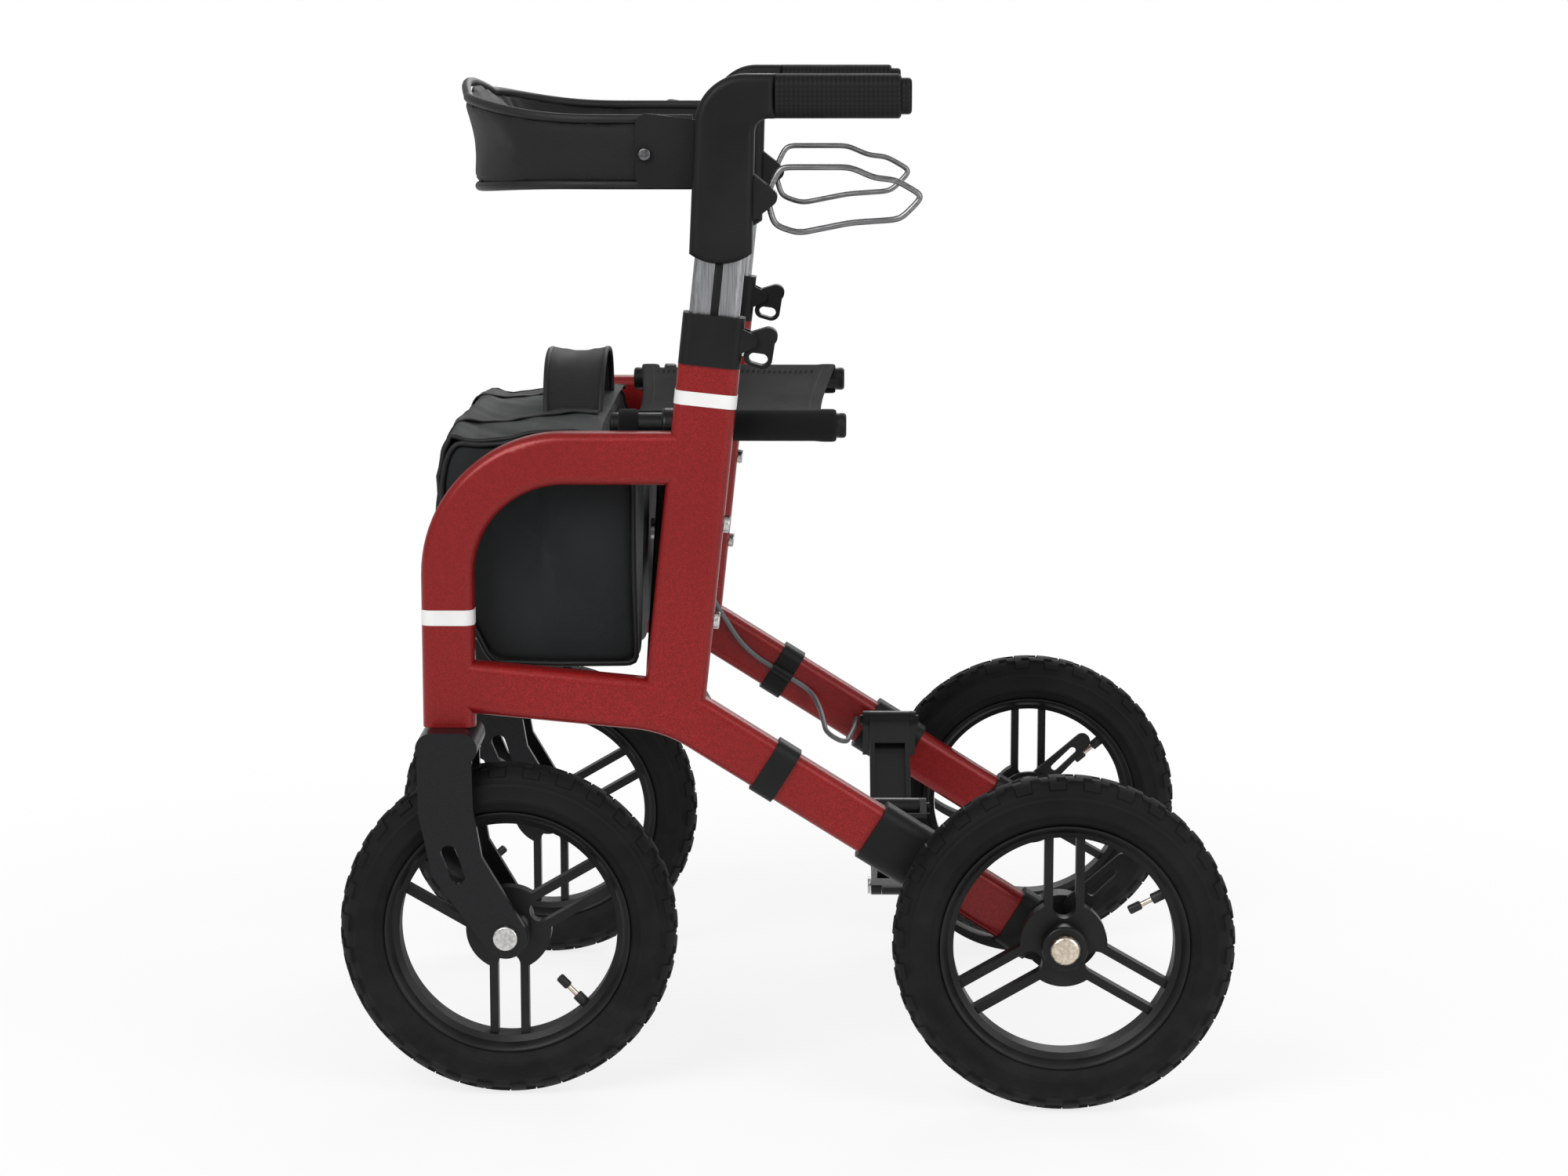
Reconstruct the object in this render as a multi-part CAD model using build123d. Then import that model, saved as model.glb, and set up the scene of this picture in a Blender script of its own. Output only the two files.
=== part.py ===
from build123d import *
import math
import os

os.makedirs("parts", exist_ok=True)

# Driving sizes in millimetres and degrees: +X is the way the walker travels, +Y its user's left, +Z up.
# Left pieces are drawn at +Y and the right ones are their mirror images, unless a function says otherwise.

# Stance
wheel_r = 150.0
wheelbase = 489.0
rear_wheel_y = 288.0
frame_y = 240.0

# Side frame tubes
tube_h = 46.0
tube_t = 28.0
tube_corner = 9.0
post_bottom_z = 333.0
hoop_z = 570.0
hoop_r = 103.0
rail_front_z = 369.5
rail_bend_x = 99.0
rail_bend_z = 350.7
rail_bend_r = 130.0
leg_slope_deg = 32.17
leg_end_x = -219.0
column_h = 54.0
column_wall = 3.0
column_ref_x = 67.6
column_ref_z = 627.5
column_lean_deg = 6.05
column_top_z = 651.0
column_cavity_bottom_z = 418.0
sleeve_clearance = 0.15

# Handle mast and its clamp
mast_w = 44.0
mast_t = 18.0
mast_wall = 2.0
mast_bottom_z = 475.0
mast_corner = 7.0
mast_socket = 16.0
slide_clearance = 0.3
collar_h = 44.0
collar_t = 32.0
collar_spigot = 14.0
ear_gap = 18.0
ear_t = 4.0
lever_pivot_back = 7.0
insert_r = 7.5
insert_stand = 5.0
insert_shank_r = 4.5
insert_bore_r = 2.5
insert_zs = (430.0, 515.0)
hinge_pin_r = 3.0
hinge_clearance = 0.05
side_play = 0.3

# Handle
housing_drop = 134.0
housing_foot_w = 54.0
housing_foot_drop = 9.0
housing_t = 34.0
housing_front_x = 75.0
housing_back_x = 25.0
housing_bend_r = 44.0
housing_crook_r = 12.0
housing_edge_r = 7.0
grip_z = 882.0
grip_h = 38.0
grip_w = 32.0
grip_front_x = 8.0
grip_back_x = -109.0
grip_corner = 13.0
grip_core_r = 11.0
lever_rod_r = 2.75
lever_hub_r = 8.0
lever_hub_w = 14.0
lever_pivot_x = 14.0
lever_drop = 86.0

# Backrest
band_front_x = 268.0
band_h = 77.0
band_top_rise = 17.0
band_low_drop = 10.0
band_lip = 27.0
band_bow = 4.0
band_steps = 4
band_t = 6.0
band_corner_r = 120.0
band_bottom_z = 800.0
bracket_t = 5.0
bracket_front_x = 138.0
bracket_foot_drop = 58.0

# Cross brace and seat
pivot_y = 200.0
brace_low_z = 352.0
seat_z = 594.0
brace_mid_x = 110.0
arm_t = 12.0
arm_h = 30.0
arm_gap = 4.0
pin_r = 5.0
rail_r = 11.0
rail_wall = 2.0
rail_back_x = -48.0
rail_front_x = 148.0
sleeve_start = 5.0
cloth_t = 4.0
seat_sag = 20.0
seat_scoop = 13.0
saddle_w = 34.0
saddle_t = 5.0
cheek_t = 3.5

# Folding rear brace
clamp_x = -100.0
clamp_len = 54.0
clamp_wall = 4.5
link_pivot_z = 250.0
link_w = 40.0
link_t = 11.0
knuckle_r = 9.0
knuckle_w = 19.4
knee_clearance = 0.5
band_clip_x = 8.0
band_clip_len = 22.0
band_clip_wall = 3.0

# Wheels
tyre_section_r = 26.0
tyre_bed_r = 102.0
rim_inner_r = 96.5
rim_bed_w = 30.0
rim_inner_w = 22.0
spoke_w = 7.5
spoke_t = 14.0
spoke_gap = 27.4
spoke_pairs = 3
hub_r = 20.0
hub_web_r = 38.0
gap_start_r = 23.0
rear_hub_w = 48.0
front_hub_w = 61.4
rear_axle_r = 6.0
front_axle_r = 5.0
axle_cap_r = 13.0
axle_cap_t = 7.5

# Rear axle casting and brake
boss_r = 29.0
socket_wall = 4.0
socket_len = 30.0
drum_r = 36.0
drum_t = 4.0
brake_arm_t = 5.0
brake_pivot_dx = -12.0
brake_pivot_dz = 26.0
brake_arm_dx = -42.0
brake_arm_dz = 40.0
pedal_t = 7.0
pedal_w = 20.0

# Caster fork
blade_gap = 62.0
blade_t = 8.0
caster_trail = 50.0
stem_r = 8.0
stem_len = 55.0
seat_gap = 0.3

# Brake cable
cable_r = 2.5
cable_loop = 68.0

# Bag
bag_back_x = 131.0
bag_half_w = 205.0
bag_top_back_x = 160.0
bag_notch_z = 548.0
bag_bottom_z = 376.0
bag_strap_x = 220.0
bag_strap_z = 450.0
bag_strap_w = 24.0
bag_strap_t = 4.0

# Worked out from the sizes above
axle_x = wheelbase / 2
post_x = axle_x + caster_trail
frame_inner_y = frame_y - tube_t / 2
frame_outer_y = frame_y + tube_t / 2
lean = math.radians(column_lean_deg)
leg_slope = math.radians(leg_slope_deg)
leg_end_z = rail_bend_z - (rail_bend_x - leg_end_x) * math.tan(leg_slope)
brace_mid_z = (brace_low_z + seat_z) / 2
arm_offset = (arm_t + arm_gap) / 2
housing_bottom_z = grip_z - housing_drop
lever_pivot_z = grip_z - lever_drop
half_arm = math.hypot(pivot_y, brace_mid_z - brace_low_z)
knee_z = link_pivot_z - (brace_mid_z - brace_low_z)
cable_y = frame_inner_y - cable_r - sleeve_clearance


def column_x(z):
    """Centre of the leaning column at a height."""
    return column_ref_x + (column_ref_z - z) * math.tan(lean)


def leg_z(x):
    """Height of the leg's centre line at a place along the walker."""
    return rail_bend_z - (rail_bend_x - x) * math.tan(leg_slope)


def side_plane(y):
    """Plane of the walker's side at y: local x runs forward and local y up."""
    return Plane(origin=(0, y, 0), x_dir=(1, 0, 0), z_dir=(0, -1, 0))


def cross_plane(x):
    """Plane across the walker at x: local x runs to the left and local y up."""
    return Plane(origin=(x, 0, 0), x_dir=(0, 1, 0), z_dir=(1, 0, 0))


def slab(sketch, y_low, y_high):
    """A plate of a side outline between two places across the walker."""
    middle = side_plane((y_low + y_high) / 2) * sketch
    return extrude(middle, amount=(y_high - y_low) / 2, both=True)


def cross_slab(sketch, x_low, x_high):
    """A plate of a cross outline between two places along the walker."""
    middle = cross_plane((x_low + x_high) / 2) * sketch
    return extrude(middle, amount=(x_high - x_low) / 2, both=True)


def disc(x, z, radius):
    """A circle on a side outline."""
    return Pos(x, z) * Circle(radius)


def hull(*discs):
    """The smooth outline drawn tightly round some circles."""
    edges = []
    for x, z, radius in discs:
        edges += (Pos(x, z) * Circle(radius)).edges()
    return make_hull(edges)


def rod_y(x, z, radius, y_low, y_high):
    """A round bar across the walker."""
    return slab(disc(x, z, radius), y_low, y_high)


def rod_x(y, z, radius, x_low, x_high):
    """A round bar along the walker."""
    return cross_slab(disc(y, z, radius), x_low, x_high)


def tube_along(path, height, thickness, corner):
    """A rounded rectangular bar along a path in the side plane."""
    start = Plane(origin=path @ 0, x_dir=(0, 1, 0), z_dir=path % 0)
    return sweep(start * RectangleRounded(thickness, height, corner), path=path)


def column_frame(z):
    """Plane square to the column at a height: local x across the walker, local y along it."""
    direction = (-math.sin(lean), 0, math.cos(lean))
    return Plane(origin=(column_x(z), frame_y, z), x_dir=(0, 1, 0), z_dir=direction)


def column_bar(z_low, z_high, width, thickness, corner):
    """A rounded bar on the column's axis between two heights."""
    length = (z_high - z_low) / math.cos(lean)
    return extrude(column_frame(z_low) * RectangleRounded(thickness, width, corner), amount=length)


def leg_frame(x):
    """Plane square to the leg at a place along the walker, facing up the leg."""
    direction = (math.cos(leg_slope), 0, math.sin(leg_slope))
    return Plane(origin=(x, frame_y, leg_z(x)), x_dir=(0, 1, 0), z_dir=direction)


def leg_sleeve(x, length, wall):
    """A sleeve that wraps the leg."""
    grow = 2 * (wall + sleeve_clearance)
    outer = RectangleRounded(tube_t + grow, tube_h + grow, tube_corner + wall)
    room = 2 * sleeve_clearance
    inner = RectangleRounded(tube_t + room, tube_h + room, tube_corner)
    return extrude(leg_frame(x) * (outer - inner), amount=length / 2, both=True)


def insert_frame(z):
    """Plane on the column's rear edge at a height, facing back."""
    back = (-math.cos(lean), 0, -math.sin(lean))
    half = column_h / 2
    return Plane(origin=(column_x(z) + half * back[0], frame_y, z + half * back[2]), x_dir=(0, 1, 0), z_dir=back)


def thread_inserts():
    """Two threaded inserts in the column's rear edge, for a tray, a stick holder or a basket."""
    inserts = []
    for z in insert_zs:
        place = insert_frame(z)
        body = extrude(place * Circle(insert_r), amount=insert_stand)
        body = fillet(body.faces().sort_by(Axis.X)[0].edges(), radius=1.2)
        body += extrude(place * Circle(insert_shank_r), amount=-column_wall)
        inserts.append(body - extrude(place.offset(-column_h / 4) * Circle(insert_bore_r), amount=column_h / 2))
    return Compound(inserts)


def side_frame():
    """Welded side frame: hoop with front post, lower rail with rear leg, and the hollow column."""
    hoop_path = FilletPolyline(
        (column_x(hoop_z), frame_y, hoop_z),
        (post_x, frame_y, hoop_z),
        (post_x, frame_y, post_bottom_z),
        radius=hoop_r,
    )
    lower_path = FilletPolyline(
        (post_x, frame_y, rail_front_z),
        (rail_bend_x, frame_y, rail_bend_z),
        (leg_end_x, frame_y, leg_end_z),
        radius=rail_bend_r,
    )
    frame = tube_along(hoop_path, tube_h, tube_t, tube_corner)
    frame += tube_along(lower_path, tube_h, tube_t, tube_corner)
    frame += column_bar(rail_bend_z, column_top_z, column_h, tube_t, tube_corner)
    for z in insert_zs:
        frame -= extrude(insert_frame(z) * Circle(insert_shank_r + sleeve_clearance), amount=-column_h / 2)
    wall = 2 * column_wall
    frame -= column_bar(
        column_cavity_bottom_z, column_top_z + wall, column_h - wall, tube_t - wall, tube_corner - column_wall
    )
    stem_top = post_bottom_z + stem_len + seat_gap
    bore = extrude(
        Plane(origin=(post_x, frame_y, post_bottom_z)) * Circle(stem_r + hinge_clearance),
        amount=stem_top - post_bottom_z,
    )
    return frame - bore


def collar_pivot():
    """Place of the clamp lever's hinge pin, as x and z."""
    z = column_top_z + collar_h / 2
    return column_x(z) - column_h / 2 - lever_pivot_back, z


def column_collar():
    """Clamp collar on the column's top: guides the mast and carries the ears of the clamp lever."""
    top = column_top_z + collar_h
    body = column_bar(column_top_z, top, column_h, collar_t, tube_corner)
    ring = 2 * (column_wall + sleeve_clearance)
    body += column_bar(
        column_top_z - collar_spigot, column_top_z + 1, column_h - ring, tube_t - ring, tube_corner - column_wall
    )
    px, pz = collar_pivot()
    ears = slab(
        hull((px, pz, hinge_pin_r + 3), (px + 14, pz + 7, hinge_pin_r + 3), (px + 14, pz - 7, hinge_pin_r + 3)),
        frame_y - ear_gap / 2 - ear_t,
        frame_y + ear_gap / 2 + ear_t,
    )
    room = Pos(px - 4, frame_y, pz) * Box(2 * lever_pivot_back + 8, ear_gap, collar_h)
    body += ears - room
    body += rod_y(px, pz, hinge_pin_r, frame_y - ear_gap / 2 - 1, frame_y + ear_gap / 2 + 1)
    slot = 2 * slide_clearance
    return body - column_bar(
        column_top_z - 2 * collar_spigot, top + collar_spigot, mast_w + slot, mast_t + slot, mast_corner
    )


def clamp_lever():
    """Finger lever of the height clamp: a thick head at the hinge with a ring under it."""
    px, pz = collar_pivot()
    head = hull((px, pz, 6.5), (px - 15, pz + 3, 8))
    ring = hull((px - 1.5, pz - 14, 8), (px - 10, pz - 16, 8.5), (px - 13, pz, 8))
    eye = hull((px - 2.5, pz - 15, 4.5), (px - 9.5, pz - 16.5, 5))
    half = ear_gap / 2 - side_play
    body = slab(head + ring - eye, frame_y - half, frame_y + half)
    return body - rod_y(px, pz, hinge_pin_r + hinge_clearance, frame_y - ear_gap, frame_y + ear_gap)


def mast():
    """Oval mast tube that slides in the column."""
    top = housing_bottom_z + mast_socket
    outer = column_bar(mast_bottom_z, top, mast_w, mast_t, mast_corner)
    wall = 2 * mast_wall
    bore = column_bar(
        mast_bottom_z - wall, top + wall, mast_w - wall, mast_t - wall, mast_corner - mast_wall
    )
    return outer - bore


def housing_outline():
    """Side outline of the moulded handle housing, from the mast up round the bend to the grip."""
    foot_x = column_x(housing_bottom_z)
    half = housing_foot_w / 2
    top = grip_z + grip_h / 2
    under = grip_z - grip_h / 2
    outline = make_face(
        [
            Line((foot_x + half, housing_bottom_z), (housing_front_x, top)),
            Line((housing_front_x, top), (grip_front_x, top)),
            Line((grip_front_x, top), (grip_front_x, under)),
            Line((grip_front_x, under), (housing_back_x, under)),
            Line((housing_back_x, under), (foot_x - half, housing_bottom_z)),
            ThreePointArc(
                (foot_x - half, housing_bottom_z),
                (foot_x, housing_bottom_z - housing_foot_drop),
                (foot_x + half, housing_bottom_z),
            ),
        ]
    )
    outer = outline.vertices().sort_by_distance((housing_front_x, top))[0]
    outline = fillet(outer, radius=housing_bend_r)
    inner = outline.vertices().sort_by_distance((housing_back_x, under))[0]
    return fillet(inner, radius=housing_crook_r)


def handle_housing():
    """Moulded housing with the mast socket, the grip's core and the ears of the brake lever."""
    half = housing_t / 2
    body = slab(housing_outline(), frame_y - half, frame_y + half)
    rim = body.edges().filter_by(lambda e: abs(abs(e.center().Y - frame_y) - half) < 0.01)
    body = fillet(rim, radius=housing_edge_r)
    socket = column_bar(
        housing_bottom_z - 2 * housing_foot_drop,
        housing_bottom_z + mast_socket,
        mast_w + 2 * sleeve_clearance,
        mast_t + 2 * sleeve_clearance,
        mast_corner,
    )
    body -= socket
    core_end = grip_back_x + 14
    core = Plane(origin=(grip_front_x + 2, frame_y, grip_z), x_dir=(0, 1, 0), z_dir=(-1, 0, 0))
    body += extrude(core * Circle(grip_core_r), amount=grip_front_x + 2 - core_end)
    inner = lever_hub_w / 2 + side_play
    for low in (frame_y - inner - ear_t, frame_y + inner):
        ear = hull(
            (lever_pivot_x, lever_pivot_z, 8),
            (housing_back_x + 5, lever_pivot_z + 15, 6),
            (housing_back_x + 5, lever_pivot_z - 15, 6),
        )
        body += slab(ear, low, low + ear_t)
    reach = inner + ear_t / 2
    return body + rod_y(lever_pivot_x, lever_pivot_z, hinge_pin_r, frame_y - reach, frame_y + reach)


def grip():
    """Rubber hand grip over the housing's core, with a stepped end cap."""
    plane = Plane(origin=(grip_front_x, frame_y, grip_z), x_dir=(0, 1, 0), z_dir=(-1, 0, 0))
    cap = 9.0
    length = grip_front_x - grip_back_x
    body = extrude(plane * RectangleRounded(grip_w, grip_h, grip_corner), amount=length - cap)
    end = body.faces().sort_by(Axis.X)[0]
    body = fillet(end.edges(), radius=3)
    neck = plane.offset(length - cap)
    body += extrude(neck * RectangleRounded(grip_w - 5, grip_h - 7, grip_corner - 3), amount=cap)
    body = fillet(body.faces().sort_by(Axis.X)[0].edges(), radius=3)
    core_len = grip_front_x - grip_back_x - 14 + sleeve_clearance
    return body - extrude(plane * Circle(grip_core_r + sleeve_clearance), amount=core_len)


def brake_lever():
    """Brake lever: one bent rod in a long loop under the grip, welded to its hinge hub."""
    route = [
        (lever_pivot_x + 1, lever_pivot_z - 2),
        (9, 772),
        (-12, 765),
        (-57, 774),
        (-100, 777),
        (-118, 797),
        (-92, 811),
        (-78, 812),
        (-57, 821.5),
        (4, 821.5),
        (lever_pivot_x, lever_pivot_z + 3),
    ]
    path = FilletPolyline(
        *[(x, frame_y, z) for x, z in route],
        radius=[8, 12, 30, 14, 11, 12, 10, 14, 12],
    )
    start = Plane(origin=path @ 0, x_dir=(0, 1, 0), z_dir=path % 0)
    rod = sweep(start * Circle(lever_rod_r), path=path)
    half = lever_hub_w / 2
    body = rod + rod_y(lever_pivot_x, lever_pivot_z, lever_hub_r, frame_y - half, frame_y + half)
    return body - rod_y(
        lever_pivot_x, lever_pivot_z, hinge_pin_r + hinge_clearance, frame_y - lever_hub_w, frame_y + lever_hub_w
    )


def backrest_bracket():
    """Plate on the housing's front that the backrest band is screwed to."""
    outline = hull(
        (housing_front_x - 4, band_bottom_z + 12, 8),
        (housing_front_x - 4, band_bottom_z + band_h - 24, 8),
        (housing_front_x - 4, grip_z - bracket_foot_drop, 8),
        (bracket_front_x - 20, band_bottom_z + 14, 10),
        (bracket_front_x - 20, band_bottom_z + band_h - 20, 10),
    )
    plate = slab(outline - housing_outline(), frame_y - bracket_t, frame_y)
    screw_z = band_bottom_z + band_h / 2 - 6
    screw_x = bracket_front_x - 18
    screw = rod_y(screw_x, screw_z, 6, frame_y, frame_y + 3)
    return plate + screw


def band_section(point, heading, share):
    """One upright section of the backrest band: plain at its ends, flared forward at the middle."""
    low = band_bottom_z - band_low_drop * share
    top = band_bottom_z + band_h + band_top_rise * share
    middle = (low + top) / 2
    bow = 0.4 + band_bow * share
    plane = Plane(origin=(point[0], point[1], 0), x_dir=(-heading[1], heading[0], 0), z_dir=(heading[0], heading[1], 0))
    half = band_t / 2
    outer = [(band_lip * share * 0.4 + half, low), (half - bow, middle), (band_lip * share + half, top)]
    inner = [(x - band_t, z) for x, z in outer]
    face = make_face(
        [ThreePointArc(*outer), Line(outer[2], inner[2]), ThreePointArc(*reversed(inner)), Line(inner[0], outer[0])]
    )
    return plane * face


def backrest_band():
    """Backrest band: a deep strap that leaves one bracket, flares round the front and ends at the other."""
    end_y = frame_y - bracket_t - band_t / 2
    back_x = housing_front_x + 14
    straight = band_front_x - band_corner_r - back_x
    sections = [band_section((back_x, end_y), (1, 0), 0)]
    for step in range(band_steps + 1):
        turn = math.radians(90 * step / band_steps)
        x = back_x + straight + band_corner_r * math.sin(turn)
        y = end_y - band_corner_r * (1 - math.cos(turn))
        sections.append(band_section((x, y), (math.cos(turn), -math.sin(turn)), math.sin(turn) ** 2 * 0.7))
    sections.append(band_section((band_front_x, 0), (0, -1), 1))
    half = loft(sections)
    return half + mirror(half, about=Plane.XZ)


def brace_arm(layer, low_side):
    """One arm of the cross brace, from the lower pivot on one side up to the seat rail of the other."""
    x_mid = brace_mid_x + layer * arm_offset
    low = (low_side * pivot_y, brace_low_z)
    high = (-low_side * pivot_y, seat_z)
    outline = hull((low[0], low[1], arm_h / 2), (high[0], high[1], arm_h / 2))
    body = cross_slab(outline, x_mid - arm_t / 2, x_mid + arm_t / 2)
    body = fillet(body.edges().filter_by(GeomType.LINE), radius=3)
    reach = arm_t
    body -= rod_x(low[0], low[1], pin_r + hinge_clearance, x_mid - reach, x_mid + reach)
    body -= rod_x(high[0], high[1], rail_r + sleeve_clearance, x_mid - reach, x_mid + reach)
    return body - rod_x(0, brace_mid_z, pin_r + hinge_clearance, x_mid - reach, x_mid + reach)


def centre_pin():
    """Headed pin where the two brace arms cross."""
    outer = arm_offset + arm_t / 2 + side_play
    pin = rod_x(0, brace_mid_z, pin_r, brace_mid_x - outer, brace_mid_x + outer)
    for sign in (-1, 1):
        face = brace_mid_x + sign * outer
        pin += rod_x(0, brace_mid_z, 2 * pin_r, min(face, face + sign * 4), max(face, face + sign * 4))
    spacer = arm_gap / 2 - side_play
    return pin + rod_x(0, brace_mid_z, 2 * pin_r, brace_mid_x - spacer, brace_mid_x + spacer)


def pivot_bracket(layer):
    """Clevis on the side frame that carries the lower end of a brace arm, with its pin."""
    x_mid = brace_mid_x + layer * arm_offset
    inner = arm_t / 2 + side_play
    outer = inner + cheek_t
    outline = hull(
        (pivot_y, brace_low_z, 2.2 * pin_r),
        (frame_inner_y - 3, brace_low_z + 14, 3),
        (frame_inner_y - 3, brace_low_z - 14, 3),
    )
    body = cross_slab(outline, x_mid - outer, x_mid + outer)
    room = Pos(x_mid, pivot_y - 8, brace_low_z) * Box(2 * inner, 2 * (frame_inner_y - pivot_y), 60)
    body -= room
    return body + rod_x(pivot_y, brace_low_z, pin_r, x_mid - outer - 2, x_mid + outer + 2)


def seat_rail():
    """Tubular rail along the side of the seat."""
    tube = rod_x(pivot_y, seat_z, rail_r, rail_back_x, rail_front_x)
    return tube - rod_x(pivot_y, seat_z, rail_r - rail_wall, rail_back_x - 1, rail_front_x + 1)


def rail_caps():
    """Plugs in both ends of a seat rail."""
    caps = []
    for end, sign in ((rail_back_x, -1), (rail_front_x, 1)):
        plug_r = rail_r - rail_wall - sleeve_clearance
        head = rod_x(pivot_y, seat_z, rail_r, min(end, end + sign * 6), max(end, end + sign * 6))
        head = fillet(head.faces().sort_by(Axis.X)[-1 if sign > 0 else 0].edges(), radius=3)
        plug = rod_x(pivot_y, seat_z, plug_r, min(end, end - sign * 12), max(end, end - sign * 12))
        caps.append(head + plug)
    return Compound(caps)


def seat_panel():
    """Left half of the seat sling: a sleeve round the rail and a sagging panel to the middle."""
    sleeve_in = rail_r + seat_gap
    sleeve_out = sleeve_in + 2.2
    top = seat_z + sleeve_out - 0.5
    mid_y = pivot_y / 2
    mid_z = top - seat_sag * 0.72
    low_z = top - seat_sag
    drawn = [
        ThreePointArc((pivot_y, top), (mid_y, mid_z), (0.0, low_z)),
        Line((0.0, low_z), (0.0, low_z - cloth_t)),
        ThreePointArc((0.0, low_z - cloth_t), (mid_y, mid_z - cloth_t), (pivot_y, top - cloth_t)),
        Line((pivot_y, top - cloth_t), (pivot_y, top)),
    ]
    back = rail_back_x + sleeve_start
    front = rail_front_x - 2
    panel = cross_slab(make_face(drawn), back, front)
    panel += rod_x(pivot_y, seat_z, sleeve_out, back, front)
    panel -= rod_x(pivot_y, seat_z, sleeve_in, back - 1, front + 1)
    scoop_r = (pivot_y**2 + seat_scoop**2) / (2 * seat_scoop)
    scoop = Pos(back + seat_scoop - scoop_r, 0, seat_z) * Cylinder(scoop_r, 200)
    panel -= scoop
    notch_x = column_x(seat_z)
    panel -= Pos(notch_x, pivot_y, seat_z) * Box(saddle_w + 4, 2 * (rail_r + saddle_t + 5), 80)
    arm_room = arm_offset + arm_t / 2 + 1
    panel -= Pos(brace_mid_x, pivot_y, seat_z - arm_h) * Box(2 * arm_room, 2 * arm_h, 4 * arm_h)
    return panel


def saddle():
    """Open cradle on the column that the seat rail drops into."""
    x_mid = column_x(seat_z)
    slot_r = rail_r + 0.4
    body = cross_slab(
        hull(
            (pivot_y, seat_z, slot_r + saddle_t),
            (frame_inner_y - 4, seat_z + 8, 4),
            (frame_inner_y - 4, seat_z - 26, 4),
        ),
        x_mid - saddle_w / 2,
        x_mid + saddle_w / 2,
    )
    body -= rod_x(pivot_y, seat_z, slot_r, x_mid - saddle_w, x_mid + saddle_w)
    mouth = Pos(x_mid, pivot_y, seat_z + 30) * Box(2 * saddle_w, 2 * slot_r, 60)
    return body - mouth


def leg_clamp():
    """Clamp round the leg with the ears and pin of the folding rear brace."""
    body = leg_sleeve(clamp_x, clamp_len, clamp_wall)
    inner = link_w / 2 + side_play
    face_y = frame_inner_y - clamp_wall
    outline = hull(
        (pivot_y, link_pivot_z, knuckle_r),
        (face_y, link_pivot_z - 4, 4),
        (face_y, leg_z(clamp_x) - 12, 4),
    )
    ears = cross_slab(outline, clamp_x - inner - 6, clamp_x + inner + 6)
    ears -= Pos(clamp_x, face_y - 30, link_pivot_z - 20) * Box(2 * inner, 60, 90)
    tunnel = tube_h + 2 * sleeve_clearance
    leg_room = RectangleRounded(tube_t + 2 * sleeve_clearance, tunnel, tube_corner)
    ears -= extrude(leg_frame(clamp_x) * leg_room, amount=2 * clamp_len, both=True)
    body += ears
    reach = inner + 9
    return body + rod_x(pivot_y, link_pivot_z, pin_r, clamp_x - reach, clamp_x + reach)


def rear_link(side):
    """Channel link of the folding rear brace; the left one holds the knee's middle knuckle."""
    y_out = side * pivot_y
    waist = hull((y_out, link_pivot_z, link_t / 2), (0, knee_z, link_t / 2))
    body = cross_slab(waist, clamp_x - link_w / 2, clamp_x + link_w / 2)
    ends = cross_slab(disc(y_out, link_pivot_z, knuckle_r), clamp_x - link_w / 2, clamp_x + link_w / 2)
    body += ends
    knuckle = knuckle_w / 2
    if side > 0:
        body += rod_x(0, knee_z, knuckle_r, clamp_x - knuckle, clamp_x + knuckle)
        for sign in (-1, 1):
            gap = Pos(clamp_x + sign * (knuckle + 20), 0, knee_z) * Box(40, 4 * knuckle_r, 4 * knuckle_r)
            body -= gap
    else:
        body += rod_x(0, knee_z, knuckle_r, clamp_x - link_w / 2, clamp_x + link_w / 2)
        body -= Pos(clamp_x, 0, knee_z) * Box(knuckle_w + 2 * side_play, 4 * knuckle_r, 4 * knuckle_r)
    angle = math.degrees(math.atan2(link_pivot_z - knee_z, y_out))
    mid = (clamp_x, y_out / 2, (knee_z + link_pivot_z) / 2)
    for sign in (-1, 1):
        pocket = Box(link_w - 10, half_arm - 80, link_t)
        place = Pos(*mid) * Rot(angle if side > 0 else angle - 180, 0, 0) * Pos(0, 0, sign * (link_t / 2 + 1.5))
        body -= place * pocket
    play = hinge_clearance if side > 0 else knee_clearance
    body -= rod_x(y_out, link_pivot_z, pin_r + hinge_clearance, clamp_x - link_w, clamp_x + link_w)
    return body - rod_x(0, knee_z, pin_r + play, clamp_x - link_w, clamp_x + link_w)


def knee_pin():
    """Headed pin of the knee between the two rear links."""
    reach = link_w / 2 + side_play
    pin = rod_x(0, knee_z, pin_r, clamp_x - reach, clamp_x + reach)
    for sign in (-1, 1):
        face = clamp_x + sign * reach
        pin += rod_x(0, knee_z, 1.6 * pin_r, min(face, face + sign * 3), max(face, face + sign * 3))
    return pin


def leg_band():
    """Plain band round the leg, with a hump over the brake cable."""
    band = leg_sleeve(band_clip_x, band_clip_len, band_clip_wall)
    place = leg_frame(band_clip_x)
    hump_face = place * Pos(cable_y - frame_y, 0) * Circle(cable_r + band_clip_wall)
    hump = extrude(hump_face, amount=band_clip_len / 2, both=True)
    leg_room = RectangleRounded(tube_t + 2 * sleeve_clearance, tube_h + 2 * sleeve_clearance, tube_corner)
    hump -= extrude(place * leg_room, amount=band_clip_len, both=True)
    channel_face = place * Pos(cable_y - frame_y, 0) * Circle(cable_r + sleeve_clearance)
    return band + hump - extrude(channel_face, amount=band_clip_len, both=True)


def tyre(x, y):
    """Air-filled tyre on its rim's bed."""
    centre = wheel_r - tyre_section_r
    section = Pos(centre, 0) * Circle(tyre_section_r) - Pos(tyre_bed_r / 2, 0) * Rectangle(tyre_bed_r, wheel_r)
    ring = revolve(Plane.XZ * section, axis=Axis.Z)
    return Pos(x, y, wheel_r) * Rot(-90, 0, 0) * ring


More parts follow.
